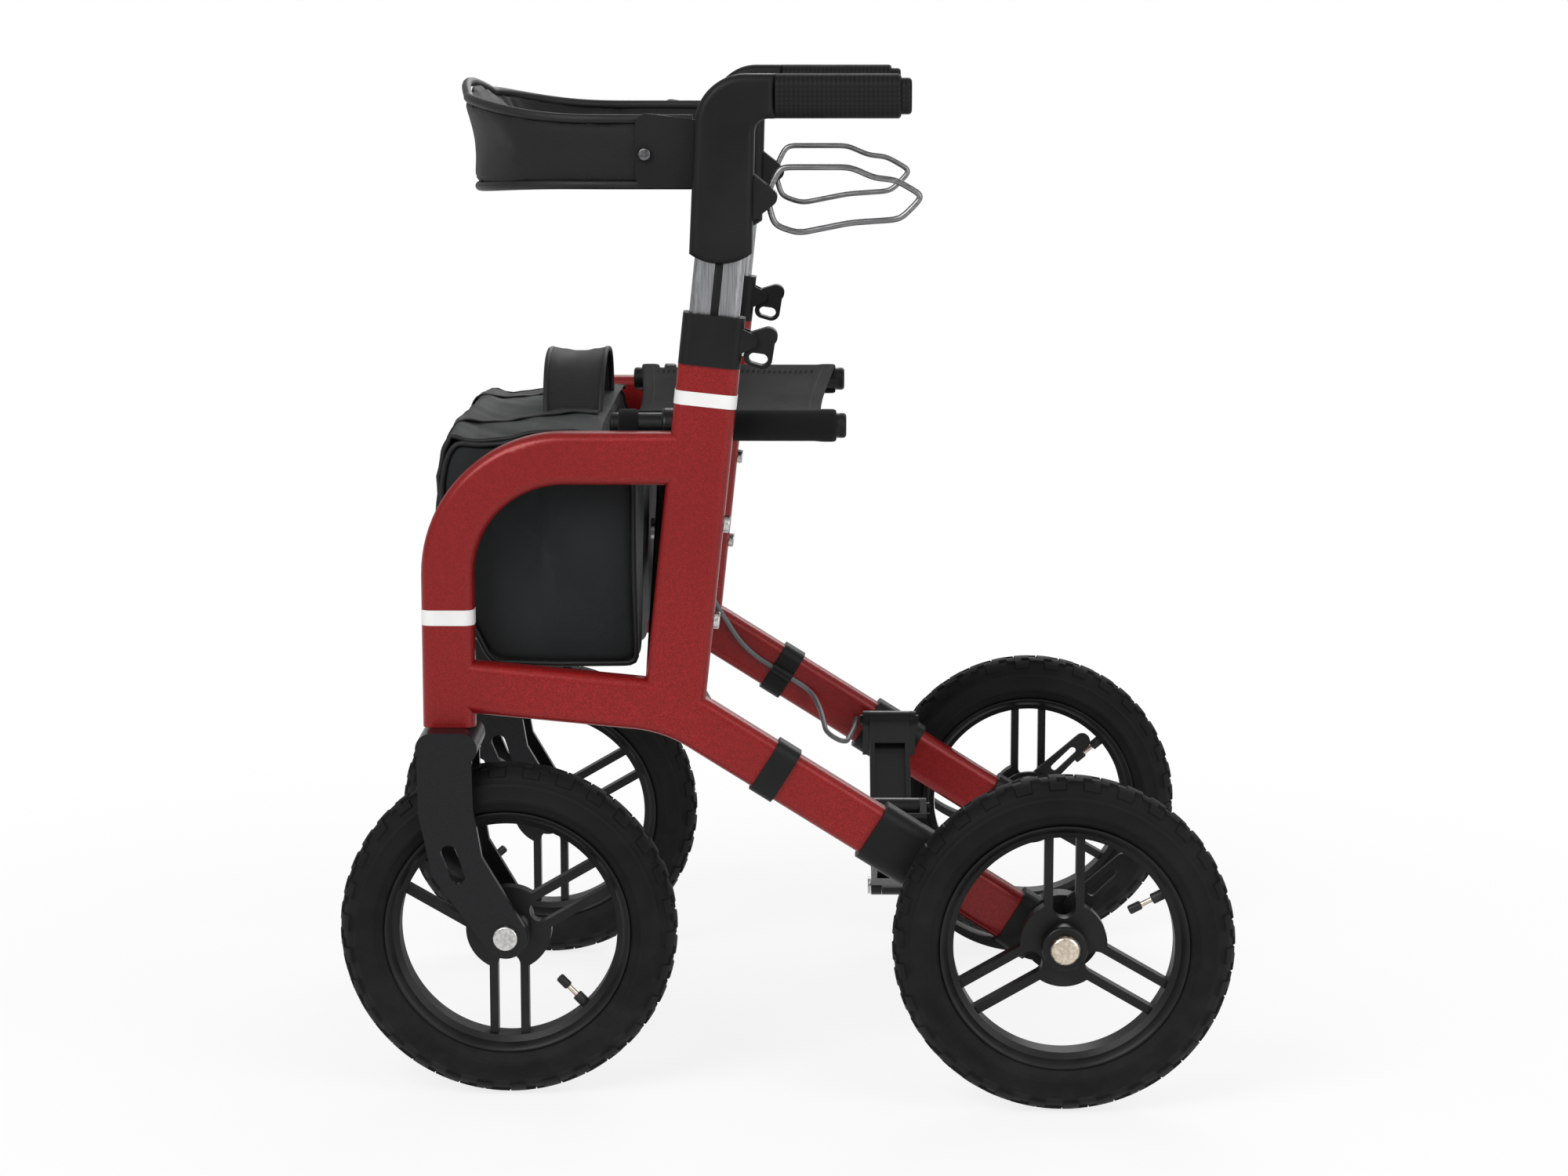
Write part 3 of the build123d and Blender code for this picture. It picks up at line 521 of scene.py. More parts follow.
@dataclass(frozen=True)
class Finish:
    """A finish: its base look and the shares of the shared effects that it shows."""

    name: str
    colour: Colour
    second: Colour
    roughness: float = 0.5
    metallic: float = 0.0
    coat: float = 0.0
    coat_roughness: float = 0.2
    sheen: float = 0.0
    specular: float = 0.5
    grain_scale: float = 900.0
    grain_depth: float = 0.0
    wear: float = 0.3
    dust_top: float = 0.0
    dust_amount: float = 0.35

    def effect(self, sheet: Sheet, effect: Effect, **values: float) -> bpy.types.Node:
        """Places a shared effect's group.

        Args:
            sheet: The material's sheet.
            effect: Which effect.
            **values: Its inputs by name.

        Returns:
            The group node.
        """
        made = sheet.node("Group")
        made.node_tree = bpy.data.node_groups[effect.value]
        for label, value in values.items():
            made.inputs[label].default_value = value
        return made

    def surface(self, sheet: Sheet) -> tuple[bpy.types.NodeSocket, bpy.types.NodeSocket, bpy.types.NodeSocket]:
        """Wires the pattern of this finish.

        Args:
            sheet: The material's sheet.

        Returns:
            Its colour, its roughness offset and its height.
        """
        grain = self.effect(sheet, Effect.GRAIN, Scale=self.grain_scale)
        patches = sheet.spread(grain.outputs["Patches"], 0.3, 0.7, (0, 1))
        colour = sheet.mix(patches, self.colour, self.second)
        offset = sheet.spread(grain.outputs["Patches"], 0.3, 0.7, (-0.04, 0.04))
        return colour, offset, grain.outputs["Height"]

    def build(self) -> bpy.types.Material:
        """Builds the material once and hands it out after that.

        Returns:
            The material.
        """
        known = bpy.data.materials.get(self.name)
        if known:
            return known
        material = bpy.data.materials.new(self.name)
        material.use_nodes = True
        sheet = Sheet(material.node_tree)
        shader = sheet.tree.nodes["Principled BSDF"]
        colour, offset, height = self.surface(sheet)
        marks = self.effect(sheet, Effect.HANDLING, Amount=self.wear)
        scratched = sheet.mix(sheet.math("MULTIPLY", marks.outputs["Scratch"], 0.5), colour, self.second)
        rough = sheet.math("ADD", offset, sheet.math("ADD", sheet.math("MULTIPLY", marks.outputs["Smudge"], 0.12), self.roughness - 0.03))
        if self.dust_top:
            dust = self.effect(sheet, Effect.DUST, Top=self.dust_top, Amount=self.dust_amount)
            scratched = sheet.mix(dust.outputs["Cover"], scratched, (0.17, 0.155, 0.135))
            rough = sheet.math("ADD", rough, sheet.math("MULTIPLY", dust.outputs["Cover"], 0.3))
        sheet.wire(scratched, shader.inputs["Base Color"])
        sheet.wire(sheet.math("MINIMUM", rough, 1), shader.inputs["Roughness"])
        shader.inputs["Metallic"].default_value = self.metallic
        shader.inputs["Coat Weight"].default_value = self.coat
        shader.inputs["Coat Roughness"].default_value = self.coat_roughness
        shader.inputs["Sheen Weight"].default_value = self.sheen
        shader.inputs["Specular IOR Level"].default_value = self.specular
        if self.grain_depth:
            bump = sheet.node("Bump")
            bump.inputs["Distance"].default_value = self.grain_depth
            sheet.wire(height, bump.inputs["Height"])
            sheet.wire(bump.outputs[0], shader.inputs["Normal"])
        return material

    def dress(self, *pieces: bpy.types.Object) -> None:
        """Gives this finish to whole pieces."""
        material = self.build()
        for piece in pieces:
            piece.data.materials.clear()
            piece.data.materials.append(material)


@dataclass(frozen=True)
class FlakePaint(Finish):
    """Satin metallic paint with fine flakes."""

    def surface(self, sheet: Sheet) -> tuple[bpy.types.NodeSocket, bpy.types.NodeSocket, bpy.types.NodeSocket]:
        """Wires flakes of two tones.

        Args:
            sheet: The material's sheet.

        Returns:
            Its colour, its roughness offset and its height.
        """
        place = sheet.node("TexCoord").outputs["Object"]
        flakes = sheet.node("TexVoronoi", feature="F1")
        flakes.inputs["Scale"].default_value = self.grain_scale
        sheet.wire(place, flakes.inputs["Vector"])
        tone = sheet.node("SeparateColor")
        sheet.wire(flakes.outputs["Color"], tone.inputs[0])
        glint = sheet.spread(tone.outputs[0], 0.2, 1.0, (0, 1))
        broad = sheet.noise(place, 5, 2)
        share = sheet.math("MULTIPLY", glint, sheet.spread(broad, 0.3, 0.7, (0.5, 1)))
        colour = sheet.mix(share, self.colour, self.second)
        return colour, sheet.spread(tone.outputs[1], 0, 1, (-0.05, 0.05)), sheet.noise(place, 260, 2)


@dataclass(frozen=True)
class DrawnMetal(Finish):
    """Metal with fine lines along one axis."""

    stretch: Point = (400, 400, 12)

    def surface(self, sheet: Sheet) -> tuple[bpy.types.NodeSocket, bpy.types.NodeSocket, bpy.types.NodeSocket]:
        """Wires the drawing lines.

        Args:
            sheet: The material's sheet.

        Returns:
            Its colour, its roughness offset and its height.
        """
        lines = sheet.node("Mapping")
        lines.inputs["Scale"].default_value = self.stretch
        sheet.wire(sheet.node("TexCoord").outputs["Object"], lines.inputs["Vector"])
        streak = sheet.noise(lines.outputs[0], 4, 4)
        share = sheet.spread(streak, 0.3, 0.7, (0, 1))
        return sheet.mix(share, self.colour, self.second), sheet.spread(streak, 0.3, 0.7, (-0.08, 0.08)), streak


@dataclass(frozen=True)
class Cloth(Finish):
    """Woven cloth on a UV map in metres."""

    threads: float = 900.0

    def surface(self, sheet: Sheet) -> tuple[bpy.types.NodeSocket, bpy.types.NodeSocket, bpy.types.NodeSocket]:
        """Wires the weave.

        Args:
            sheet: The material's sheet.

        Returns:
            Its colour, its roughness offset and its height.
        """
        weave = self.effect(sheet, Effect.WEAVE, Threads=self.threads)
        worn = sheet.noise(sheet.node("TexCoord").outputs["Object"], 9, 4)
        share = sheet.math("ADD", sheet.math("MULTIPLY", weave.outputs["Thread"], 0.6), weave.outputs["Slubs"])
        share = sheet.math("MULTIPLY", share, sheet.spread(worn, 0.3, 0.7, (0.6, 1)))
        return sheet.mix(share, self.colour, self.second), sheet.spread(worn, 0.3, 0.7, (-0.05, 0.05)), weave.outputs["Height"]


@dataclass(frozen=True)
class GripRubber(Finish):
    """Soft rubber with a pattern of small raised lozenges."""

    pitch: float = 0.004

    def surface(self, sheet: Sheet) -> tuple[bpy.types.NodeSocket, bpy.types.NodeSocket, bpy.types.NodeSocket]:
        """Wires the lozenges along the grip.

        Args:
            sheet: The material's sheet.

        Returns:
            Its colour, its roughness offset and its height.
        """
        parts = sheet.node("SeparateXYZ")
        sheet.wire(sheet.node("TexCoord").outputs["Object"], parts.inputs[0])
        turns = math.pi / self.pitch
        girth = sheet.math("ADD", parts.outputs["Y"], parts.outputs["Z"])
        first = sheet.math("SINE", sheet.math("MULTIPLY", sheet.math("ADD", parts.outputs["X"], girth), turns))
        cross = sheet.math("SINE", sheet.math("MULTIPLY", sheet.math("SUBTRACT", parts.outputs["X"], girth), turns))
        raised = sheet.spread(sheet.math("MULTIPLY", first, cross), 0.0, 0.25, (0, 1))
        grain = self.effect(sheet, Effect.GRAIN, Scale=self.grain_scale)
        height = sheet.math("ADD", raised, sheet.math("MULTIPLY", grain.outputs["Height"], 0.3))
        patches = sheet.spread(grain.outputs["Patches"], 0.3, 0.7, (-0.04, 0.04))
        return sheet.mix(raised, self.colour, self.second), patches, height


PAINT = FlakePaint("satin_red_paint", (0.168, 0.0036, 0.004), (0.315, 0.0105, 0.0105), 0.4, 0.25, coat=0.2, specular=0.25, grain_scale=1500, grain_depth=0.00002, wear=0.15)
PLASTIC = Finish("moulded_black_plastic", (0.0038, 0.004, 0.0042), (0.008, 0.0083, 0.0086), 0.5, specular=0.18, grain_scale=1300, grain_depth=0.00008)
CASTING = Finish("cast_black_joint", (0.004, 0.0043, 0.0046), (0.009, 0.0094, 0.01), 0.46, specular=0.2, grain_scale=800, grain_depth=0.0001, dust_top=0.25, dust_amount=0.1)
DARK_PAINT = FlakePaint("dark_satin_paint", (0.004, 0.0043, 0.005), (0.01, 0.0106, 0.0115), 0.38, 0.15, coat=0.15, specular=0.2, grain_scale=1500, grain_depth=0.00002, wear=0.2)
GRIP = GripRubber("hand_grip_rubber", (0.0045, 0.0045, 0.0048), (0.0095, 0.0095, 0.01), 0.62, specular=0.18, grain_scale=1500, grain_depth=0.00025)
TYRE = Finish("tyre_compound", (0.0035, 0.0036, 0.0037), (0.0075, 0.0075, 0.0078), 0.66, specular=0.14, grain_scale=500, grain_depth=0.00012, dust_top=0.3, dust_amount=0.04)
WHEEL = Finish("moulded_wheel_plastic", (0.004, 0.0043, 0.0045), (0.0085, 0.0088, 0.0092), 0.42, specular=0.22, grain_scale=1000, grain_depth=0.00006, dust_top=0.3, dust_amount=0.03)
MAST = DrawnMetal("drawn_mast_metal", (0.21, 0.214, 0.222), (0.36, 0.364, 0.372), 0.3, 1.0, wear=0.5, grain_depth=0.00002, stretch=(420, 420, 8))
WIRE = DrawnMetal("brake_wire_metal", (0.14, 0.14, 0.145), (0.27, 0.27, 0.275), 0.34, 1.0, wear=0.4, grain_depth=0.00002, stretch=(10, 400, 400))
STEEL = DrawnMetal("turned_steel", (0.42, 0.42, 0.42), (0.68, 0.67, 0.65), 0.3, 1.0, wear=0.4, grain_depth=0.00002, stretch=(90, 12, 90))
BRASS = DrawnMetal("domed_cap_metal", (0.5, 0.42, 0.33), (0.75, 0.66, 0.55), 0.28, 1.0, wear=0.4, grain_depth=0.00002, stretch=(90, 12, 90))
CABLE = Finish("grey_cable_sleeve", (0.1, 0.1, 0.105), (0.17, 0.17, 0.175), 0.42, specular=0.4, grain_scale=1500, grain_depth=0.00003)
CABLE_END = Finish("pale_cable_end", (0.36, 0.37, 0.38), (0.48, 0.49, 0.5), 0.4, grain_scale=1500, grain_depth=0.00003)
SEAT_CLOTH = Cloth("seat_cloth", (0.0035, 0.0035, 0.0035), (0.0105, 0.0102, 0.01), 0.82, specular=0.12, sheen=0.05, grain_depth=0.0002, threads=620)
BAG_CLOTH = Cloth("bag_cloth", (0.0085, 0.0105, 0.011), (0.021, 0.0245, 0.0255), 0.6, specular=0.18, sheen=0.04, grain_depth=0.00012, threads=1100)
BAND_CLOTH = Cloth("backrest_cloth", (0.0055, 0.0058, 0.006), (0.0125, 0.0128, 0.013), 0.66, specular=0.18, sheen=0.05, grain_depth=0.00012, threads=1000)
WEBBING = Cloth("strap_webbing", (0.006, 0.006, 0.0065), (0.016, 0.016, 0.0165), 0.6, specular=0.28, sheen=0.06, grain_depth=0.00025, threads=520)
STEEL_DARK = DrawnMetal("blackened_screw_steel", (0.09, 0.09, 0.095), (0.2, 0.2, 0.205), 0.34, 1.0, wear=0.5, grain_depth=0.00002, stretch=(90, 12, 90))
PIPING = Finish("black_piping", (0.005, 0.005, 0.0055), (0.011, 0.011, 0.0115), 0.52, specular=0.28, grain_scale=2200, grain_depth=0.0001)
STRIPE = Finish("reflective_stripe", (0.6, 0.6, 0.6), (0.72, 0.72, 0.71), 0.34, specular=0.5, grain_scale=1800, grain_depth=0.00005, wear=0.6)
VALVE_CAP = Finish("valve_cap", (0.008, 0.008, 0.0085), (0.016, 0.016, 0.0165), 0.45, specular=0.35, grain_scale=1500, grain_depth=0.00004)


# Sub-assemblies


@dataclass(frozen=True)
class Studio:
    """Pale floor, soft lamps and the camera of the photograph."""

    camera_place: Point = (-0.0373, 3.3251, 0.9579)
    yaw: float = 0.0122
    pitch: float = 0.1614
    lens_mm: float = 82.06
    floor_half: float = 12.0
    floor_share: float = 0.2
    shade_reach: tuple[float, float] = (0.45, 1.5)

    def floor_finish(self) -> bpy.types.Material:
        """Builds the floor's material: near white to the eye, plain to the light."""
        material = bpy.data.materials.new("pale_floor")
        material.use_nodes = True
        sheet = Sheet(material.node_tree)
        shader = sheet.tree.nodes["Principled BSDF"]
        place = sheet.node("TexCoord").outputs["Object"]
        tone = sheet.mix(sheet.noise(place, 3, 3), (0.8, 0.8, 0.8), (0.84, 0.84, 0.84))
        sheet.wire(tone, shader.inputs["Base Color"])
        shader.inputs["Roughness"].default_value = 0.9
        white = sheet.node("Emission")
        white.inputs["Strength"].default_value = 1.0
        rays = sheet.node("LightPath")
        seen = sheet.math("MAXIMUM", rays.outputs["Is Camera Ray"], rays.outputs["Is Glossy Ray"])
        seen = sheet.math("MAXIMUM", seen, rays.outputs["Is Transmission Ray"])
        away = sheet.node("VectorMath", operation="LENGTH")
        sheet.wire(place, away.inputs[0])
        fade = sheet.spread(away.outputs["Value"], *self.shade_reach, (1 - self.floor_share, 1))
        blend = sheet.node("MixShader")
        sheet.wire(sheet.math("MULTIPLY", seen, fade), blend.inputs[0])
        sheet.wire(shader.outputs[0], blend.inputs[1])
        sheet.wire(white.outputs[0], blend.inputs[2])
        sheet.wire(blend.outputs[0], sheet.tree.nodes["Material Output"].inputs["Surface"])
        return material

    def floor(self) -> None:
        """Models the floor."""
        clear_selection()
        bpy.ops.mesh.primitive_grid_add(x_subdivisions=8, y_subdivisions=8, size=2 * self.floor_half, location=(0, 0, -0.0005))
        ground = settle(named("floor"))
        ground.data.materials.append(self.floor_finish())

    def world(self) -> None:
        """Sets a white surround that lights the object gently."""
        world = bpy.data.worlds.new("surround")
        bpy.context.scene.world = world
        world.use_nodes = True
        sheet = Sheet(world.node_tree)
        back = sheet.tree.nodes["Background"]
        back.inputs["Color"].default_value = (1, 1, 1, 1)
        rays = sheet.node("LightPath")
        seen = sheet.math("MAXIMUM", rays.outputs["Is Camera Ray"], rays.outputs["Is Transmission Ray"])
        sheet.wire(sheet.math("ADD", sheet.math("MULTIPLY", seen, 0.45), 0.55), back.inputs["Strength"])

    def lamp(self, name: str, place: Point, size: float, power: float) -> None:
        """Adds a soft lamp that points at the object.

        Args:
            name: Its name.
            place: Where it stands.
            size: Its side in metres.
            power: Its watts.
        """
        data = bpy.data.lights.new(name, "AREA")
        data.size = size
        data.energy = power
        lamp = bpy.data.objects.new(name, data)
        lamp.location = place
        lamp.rotation_euler = (Vector((0, 0, 0.45)) - Vector(place)).to_track_quat("-Z", "Y").to_euler()
        bpy.context.scene.collection.objects.link(lamp)

    def camera(self) -> None:
        """Sets the camera where the photograph was taken."""
        data = bpy.data.cameras.new("photo_camera")
        data.sensor_fit = "HORIZONTAL"
        data.sensor_width = 36
        data.lens = self.lens_mm
        eye = bpy.data.objects.new("photo_camera", data)
        forward = Vector((math.sin(self.yaw) * math.cos(self.pitch), -math.cos(self.yaw) * math.cos(self.pitch), -math.sin(self.pitch)))
        right = Vector((-math.cos(self.yaw), -math.sin(self.yaw), 0))
        up = right.cross(forward)
        turn = Matrix((right, up, -forward)).transposed()
        eye.matrix_world = Matrix.Translation(self.camera_place) @ turn.to_4x4()
        bpy.context.scene.collection.objects.link(eye)
        bpy.context.scene.camera = eye

    def build(self) -> None:
        """Builds the whole studio."""
        self.camera()
        self.floor()
        self.world()
        self.lamp("key", (1.6, 2.6, 2.6), 1.8, 75)
        self.lamp("fill", (-2.4, 2.2, 1.6), 2.2, 40)
        self.lamp("rim", (-0.6, -2.8, 2.2), 2.0, 40)
        bpy.context.scene.view_settings.view_transform = "Standard"


@dataclass(frozen=True)
class CarriedNodes:
    """The nodes that keep their own shape and get a finish."""

    def build(self, nodes: dict[str, bpy.types.Object]) -> None:
        """Dresses every node by its name.

        Args:
            nodes: The frame's nodes by name.
        """
        finishes = {
            "side_frame": PAINT,
            "column_collar": PLASTIC,
            "clamp_lever": PLASTIC,
            "mast": MAST,
            "handle_housing": PLASTIC,
            "grip": GRIP,
            "brake_lever": WIRE,
            "backrest_bracket": PLASTIC,
            "seat_rail": DARK_PAINT,
            "rail_caps": PLASTIC,
            "saddle": PLASTIC,
            "leg_clamp": CASTING,
            "leg_band": CASTING,
            "rear_axle": BRASS,
            "axle_housing": CASTING,
            "brake_arm": CASTING,
            "front_axle": STEEL,
            "fork": DARK_PAINT,
            "brake_cable": CABLE,
            "pivot_bracket": CASTING,
            "thread_inserts": STEEL,
            "rear_rim": WHEEL,
            "front_rim": WHEEL,
            "rear_tyre": TYRE,
            "front_tyre": TYRE,
            "brace_arm": DARK_PAINT,
            "rear_link": DARK_PAINT,
            "centre_pin": STEEL,
            "knee_pin": STEEL,
            "seat_panel": SEAT_CLOTH,
            "backrest_band": BAND_CLOTH,
            "bag": BAG_CLOTH,
        }
        for name, node in nodes.items():
            stem = next(key for key in sorted(finishes, key=len, reverse=True) if name.startswith(key))
            finishes[stem].dress(node)
            log.info("dressed %s", name)


# Soft pieces


def form(piece: bpy.types.Object, shape: Callable[[Vector], Vector]) -> None:
    """Bends a mesh into a shape, point by point.

    Args:
        piece: The mesh.
        shape: Gives each point its new place.
    """
    for vertex in piece.data.vertices:
        vertex.co = shape(vertex.co.copy())
    piece.data.update()


def unwrap(piece: bpy.types.Object, chart: Callable[[Vector], tuple[float, float]]) -> None:
    """Writes a UV map in metres from each point's place.

    Args:
        piece: The finished mesh.
        chart: Gives a point its length along and across the cloth.
    """
    layer = piece.data.uv_layers.get("cloth") or piece.data.uv_layers.new(name="cloth")
    points = [chart(vertex.co) for vertex in piece.data.vertices]
    for loop in piece.data.loops:
        layer.data[loop.index].uv = points[loop.vertex_index]


def puff(piece: bpy.types.Object, voxel: float, pressure: float, cap: float) -> None:
    """Inflates a padded piece with cloth simulation and applies the result.

    Args:
        piece: The closed mesh, slightly smaller than the pad.
        voxel: The size of the remesh.
        pressure: The pressure inside.
        cap: The farthest that a point may move.
    """
    modify(piece, "REMESH", mode="VOXEL", voxel_size=voxel)
    rest = [vertex.co.copy() for vertex in piece.data.vertices]
    take(piece)
    cloth = piece.modifiers.new("Cloth", "CLOTH")
    cloth.settings.use_pressure = True
    cloth.settings.uniform_pressure_force = pressure
    cloth.settings.effector_weights.gravity = 0
    cloth.settings.quality = 5
    scene = bpy.context.scene
    for step in range(1, 21):
        scene.frame_set(step)
    bpy.ops.object.modifier_apply(modifier="Cloth")
    scene.frame_set(1)
    for vertex, start in zip(piece.data.vertices, rest):
        move = vertex.co - start
        if move.length > cap:
            vertex.co = start + move * (cap / move.length)
    modify(piece, "SMOOTH", factor=0.5, iterations=3)
    smooth(piece, 180)


def ripple(place: float, seed: float) -> float:
    """A line of uneven soft folds, from -1 to 1.

    Args:
        place: Where along the cloth, in metres.
        seed: Which set of folds.

    Returns:
        The fold's height there.
    """
    return (
        0.5 * math.sin(58 * place + seed)
        + 0.3 * math.sin(131 * place + 2.3 * seed)
        + 0.2 * math.sin(233 * place + 5.1 * seed)
    )


@dataclass(frozen=True)
class Stitching:
    """A run of raised stitches along a line."""

    length: float = 0.0034
    width: float = 0.0009
    pitch: float = 0.0052

    def build(self, name: str, line: list[Vector], normals: list[Vector]) -> bpy.types.Object:
        """Models the stitches as one mesh.

        Args:
            name: The piece's name.
            line: Points along the seam, close together.
            normals: The cloth's outward direction at each point.

        Returns:
            The stitches.
        """
        clear_selection()
        bpy.ops.mesh.primitive_uv_sphere_add(segments=6, ring_count=4, radius=0.5, scale=(self.length, self.width, self.width))
        stitch = settle(named(name + "_one"))
        copies = []
        gone = self.pitch
        for here, after, normal in zip(line, line[1:], normals):
            run = after - here
            while gone <= run.length:
                along = run.normalized()
                side = normal.cross(along).normalized()
                turn = Matrix((along, side, along.cross(side))).transposed()
                double = copy_of(stitch, name + "_next")
                double.data.transform(Matrix.Translation(here + along * gone) @ turn.to_4x4())
                copies.append(double)
                gone += self.pitch
            gone -= run.length
        bpy.data.objects.remove(stitch)
        clear_selection()
        for double in copies:
            double.select_set(True)
        bpy.context.view_layer.objects.active = copies[0]
        bpy.ops.object.join()
        seam = named(name)
        smooth(seam, 60)
        return seam


@dataclass(frozen=True)
class SeatSling:
    """Cloth seat between the two rails, in one piece."""

    rail_y: float = 0.2
    rail_z: float = 0.594
    wrap_r: float = 0.0125
    back_x: float = -0.045
    front_x: float = 0.146
    sag: float = 0.021
    scoop: float = 0.014
    front_scoop: float = 0.008
    thick: float = 0.0032
    wrap_deg: float = 205.0
    notch: tuple[float, float] = (0.05, 0.127)
    seam_in: float = 0.022

    def span(self) -> float:
        """Length of cloth from the middle to the top of a rail."""
        return self.rail_y

    def wrap(self) -> float:
        """Length of cloth round a rail."""
        return math.radians(self.wrap_deg) * self.wrap_r

    def edge(self, share: float, back: bool) -> float:
        """Place of the back or front edge.

        Args:
            share: 0 at the middle of the seat, 1 at a rail.
            back: Whether it is the back edge.

        Returns:
            Its X.
        """
        inward = 1 - min(share, 1.0) ** 2
        return self.back_x + self.scoop * inward if back else self.front_x - self.front_scoop * inward

    def surface(self, along: float, across: float, lift: float = 0.0) -> Vector:
        """A point of the sling.

        Args:
            along: 0 at the back edge, 1 at the front.
            across: Cloth length from the middle, negative on the right.
            lift: How far outside the cloth's middle.

        Returns:
            The point.
        """
        side = 1 if across >= 0 else -1
        run = abs(across)
        share = run / self.span()
        x = self.edge(share, True) * (1 - along) + self.edge(share, False) * along
        top = self.rail_z + self.wrap_r
        if run <= self.span():
            crease = 0.0011 * ripple(x * 0.7 + run * 0.35, 1.3) * (1 - share**6)
            z = top - self.sag * (1 - share**2) + crease
            return Vector((x, side * run, z + lift))
        turn = (run - self.span()) / self.wrap_r
        reach = self.wrap_r + lift
        return Vector((x, side * (self.rail_y + reach * math.sin(turn)), self.rail_z + reach * math.cos(turn)))

    def build(self) -> None:
        """Models the sling, its hems and its seams."""
        half = self.span() + self.wrap()
        clear_selection()
        bpy.ops.mesh.primitive_grid_add(x_subdivisions=44, y_subdivisions=120, size=1)
        sling = settle(named("seat_sling"))
        form(sling, lambda at: self.surface(at.x + 0.5, at.y * 2 * half))
        open_edit(sling)
        low, high = self.notch
        pick_faces(sling, lambda centre, normal: low < centre.x < high and abs(centre.y) > self.rail_y - 0.008)
        bpy.ops.mesh.delete(type="FACE")
        close_edit()
        outward(sling)
        if sum(face.normal.z for face in sling.data.polygons) < 0:
            take(sling)
            sling.data.flip_normals()
        modify(sling, "SOLIDIFY", thickness=self.thick, offset=0, use_rim=True)
        open_edit(sling)
        pick_faces(sling, lambda centre, normal: self.in_hem(centre))
        bpy.ops.transform.shrink_fatten(value=0.0007)
        close_edit()
        modify(sling, "SUBSURF", levels=1, render_levels=1)
        unwrap(sling, self.chart)
        SEAT_CLOTH.dress(sling)
        smooth(sling, 60)
        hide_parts("seat_panel_left", "seat_panel_right")
        self.fold(sling)
        self.seams()
        log.info("seat sling built")

    def in_hem(self, centre: Vector) -> bool:
        """Whether a place lies in the folded front or back hem."""
        share = min(abs(centre.y) / self.rail_y, 1.0)
        return centre.x < self.edge(share, True) + 0.013 or centre.x > self.edge(share, False) - 0.013

    def chart(self, at: Vector) -> tuple[float, float]:
        """Cloth lengths of a point, along the seat and across it."""
        beyond = max(abs(at.y) - self.rail_y, 0.0)
        drop = max(self.rail_z - at.z, 0.0) if beyond or abs(at.y) > 0.18 else 0.0
        return at.x, at.y + math.copysign(beyond + drop, at.y)

    def fold(self, piece: bpy.types.Object) -> None:
        """Moves a piece's place, turn and scale into its mesh."""
        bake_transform(piece)

    def seams(self) -> None:
        """Models the stitches beside the hems and the rails."""
        lift = self.thick / 2 + 0.0006
        lines = []
        for back in (True, False):
            line = []
            for step in range(81):
                across = (step / 40 - 1) * (self.rail_y - 0.004)
                share = abs(across) / self.rail_y
                width = self.edge(share, False) - self.edge(share, True)
                along = 0.0105 / width if back else 1 - 0.0105 / width
                line.append(self.surface(along, across, lift))
            lines.append(line)
        for side in Side:
            for gap in (0.0, 0.005):
                across = side.value * (self.rail_y - self.seam_in - gap)
                lines.append([self.surface(0.08 + 0.84 * step / 40, across, lift) for step in range(41)])
        for number, line in enumerate(lines):
            seam = Stitching().build(f"seat_stitches_{number + 1}", line, [Vector((0, 0, 1))] * len(line))
            PIPING.dress(seam)
            self.fold(seam)


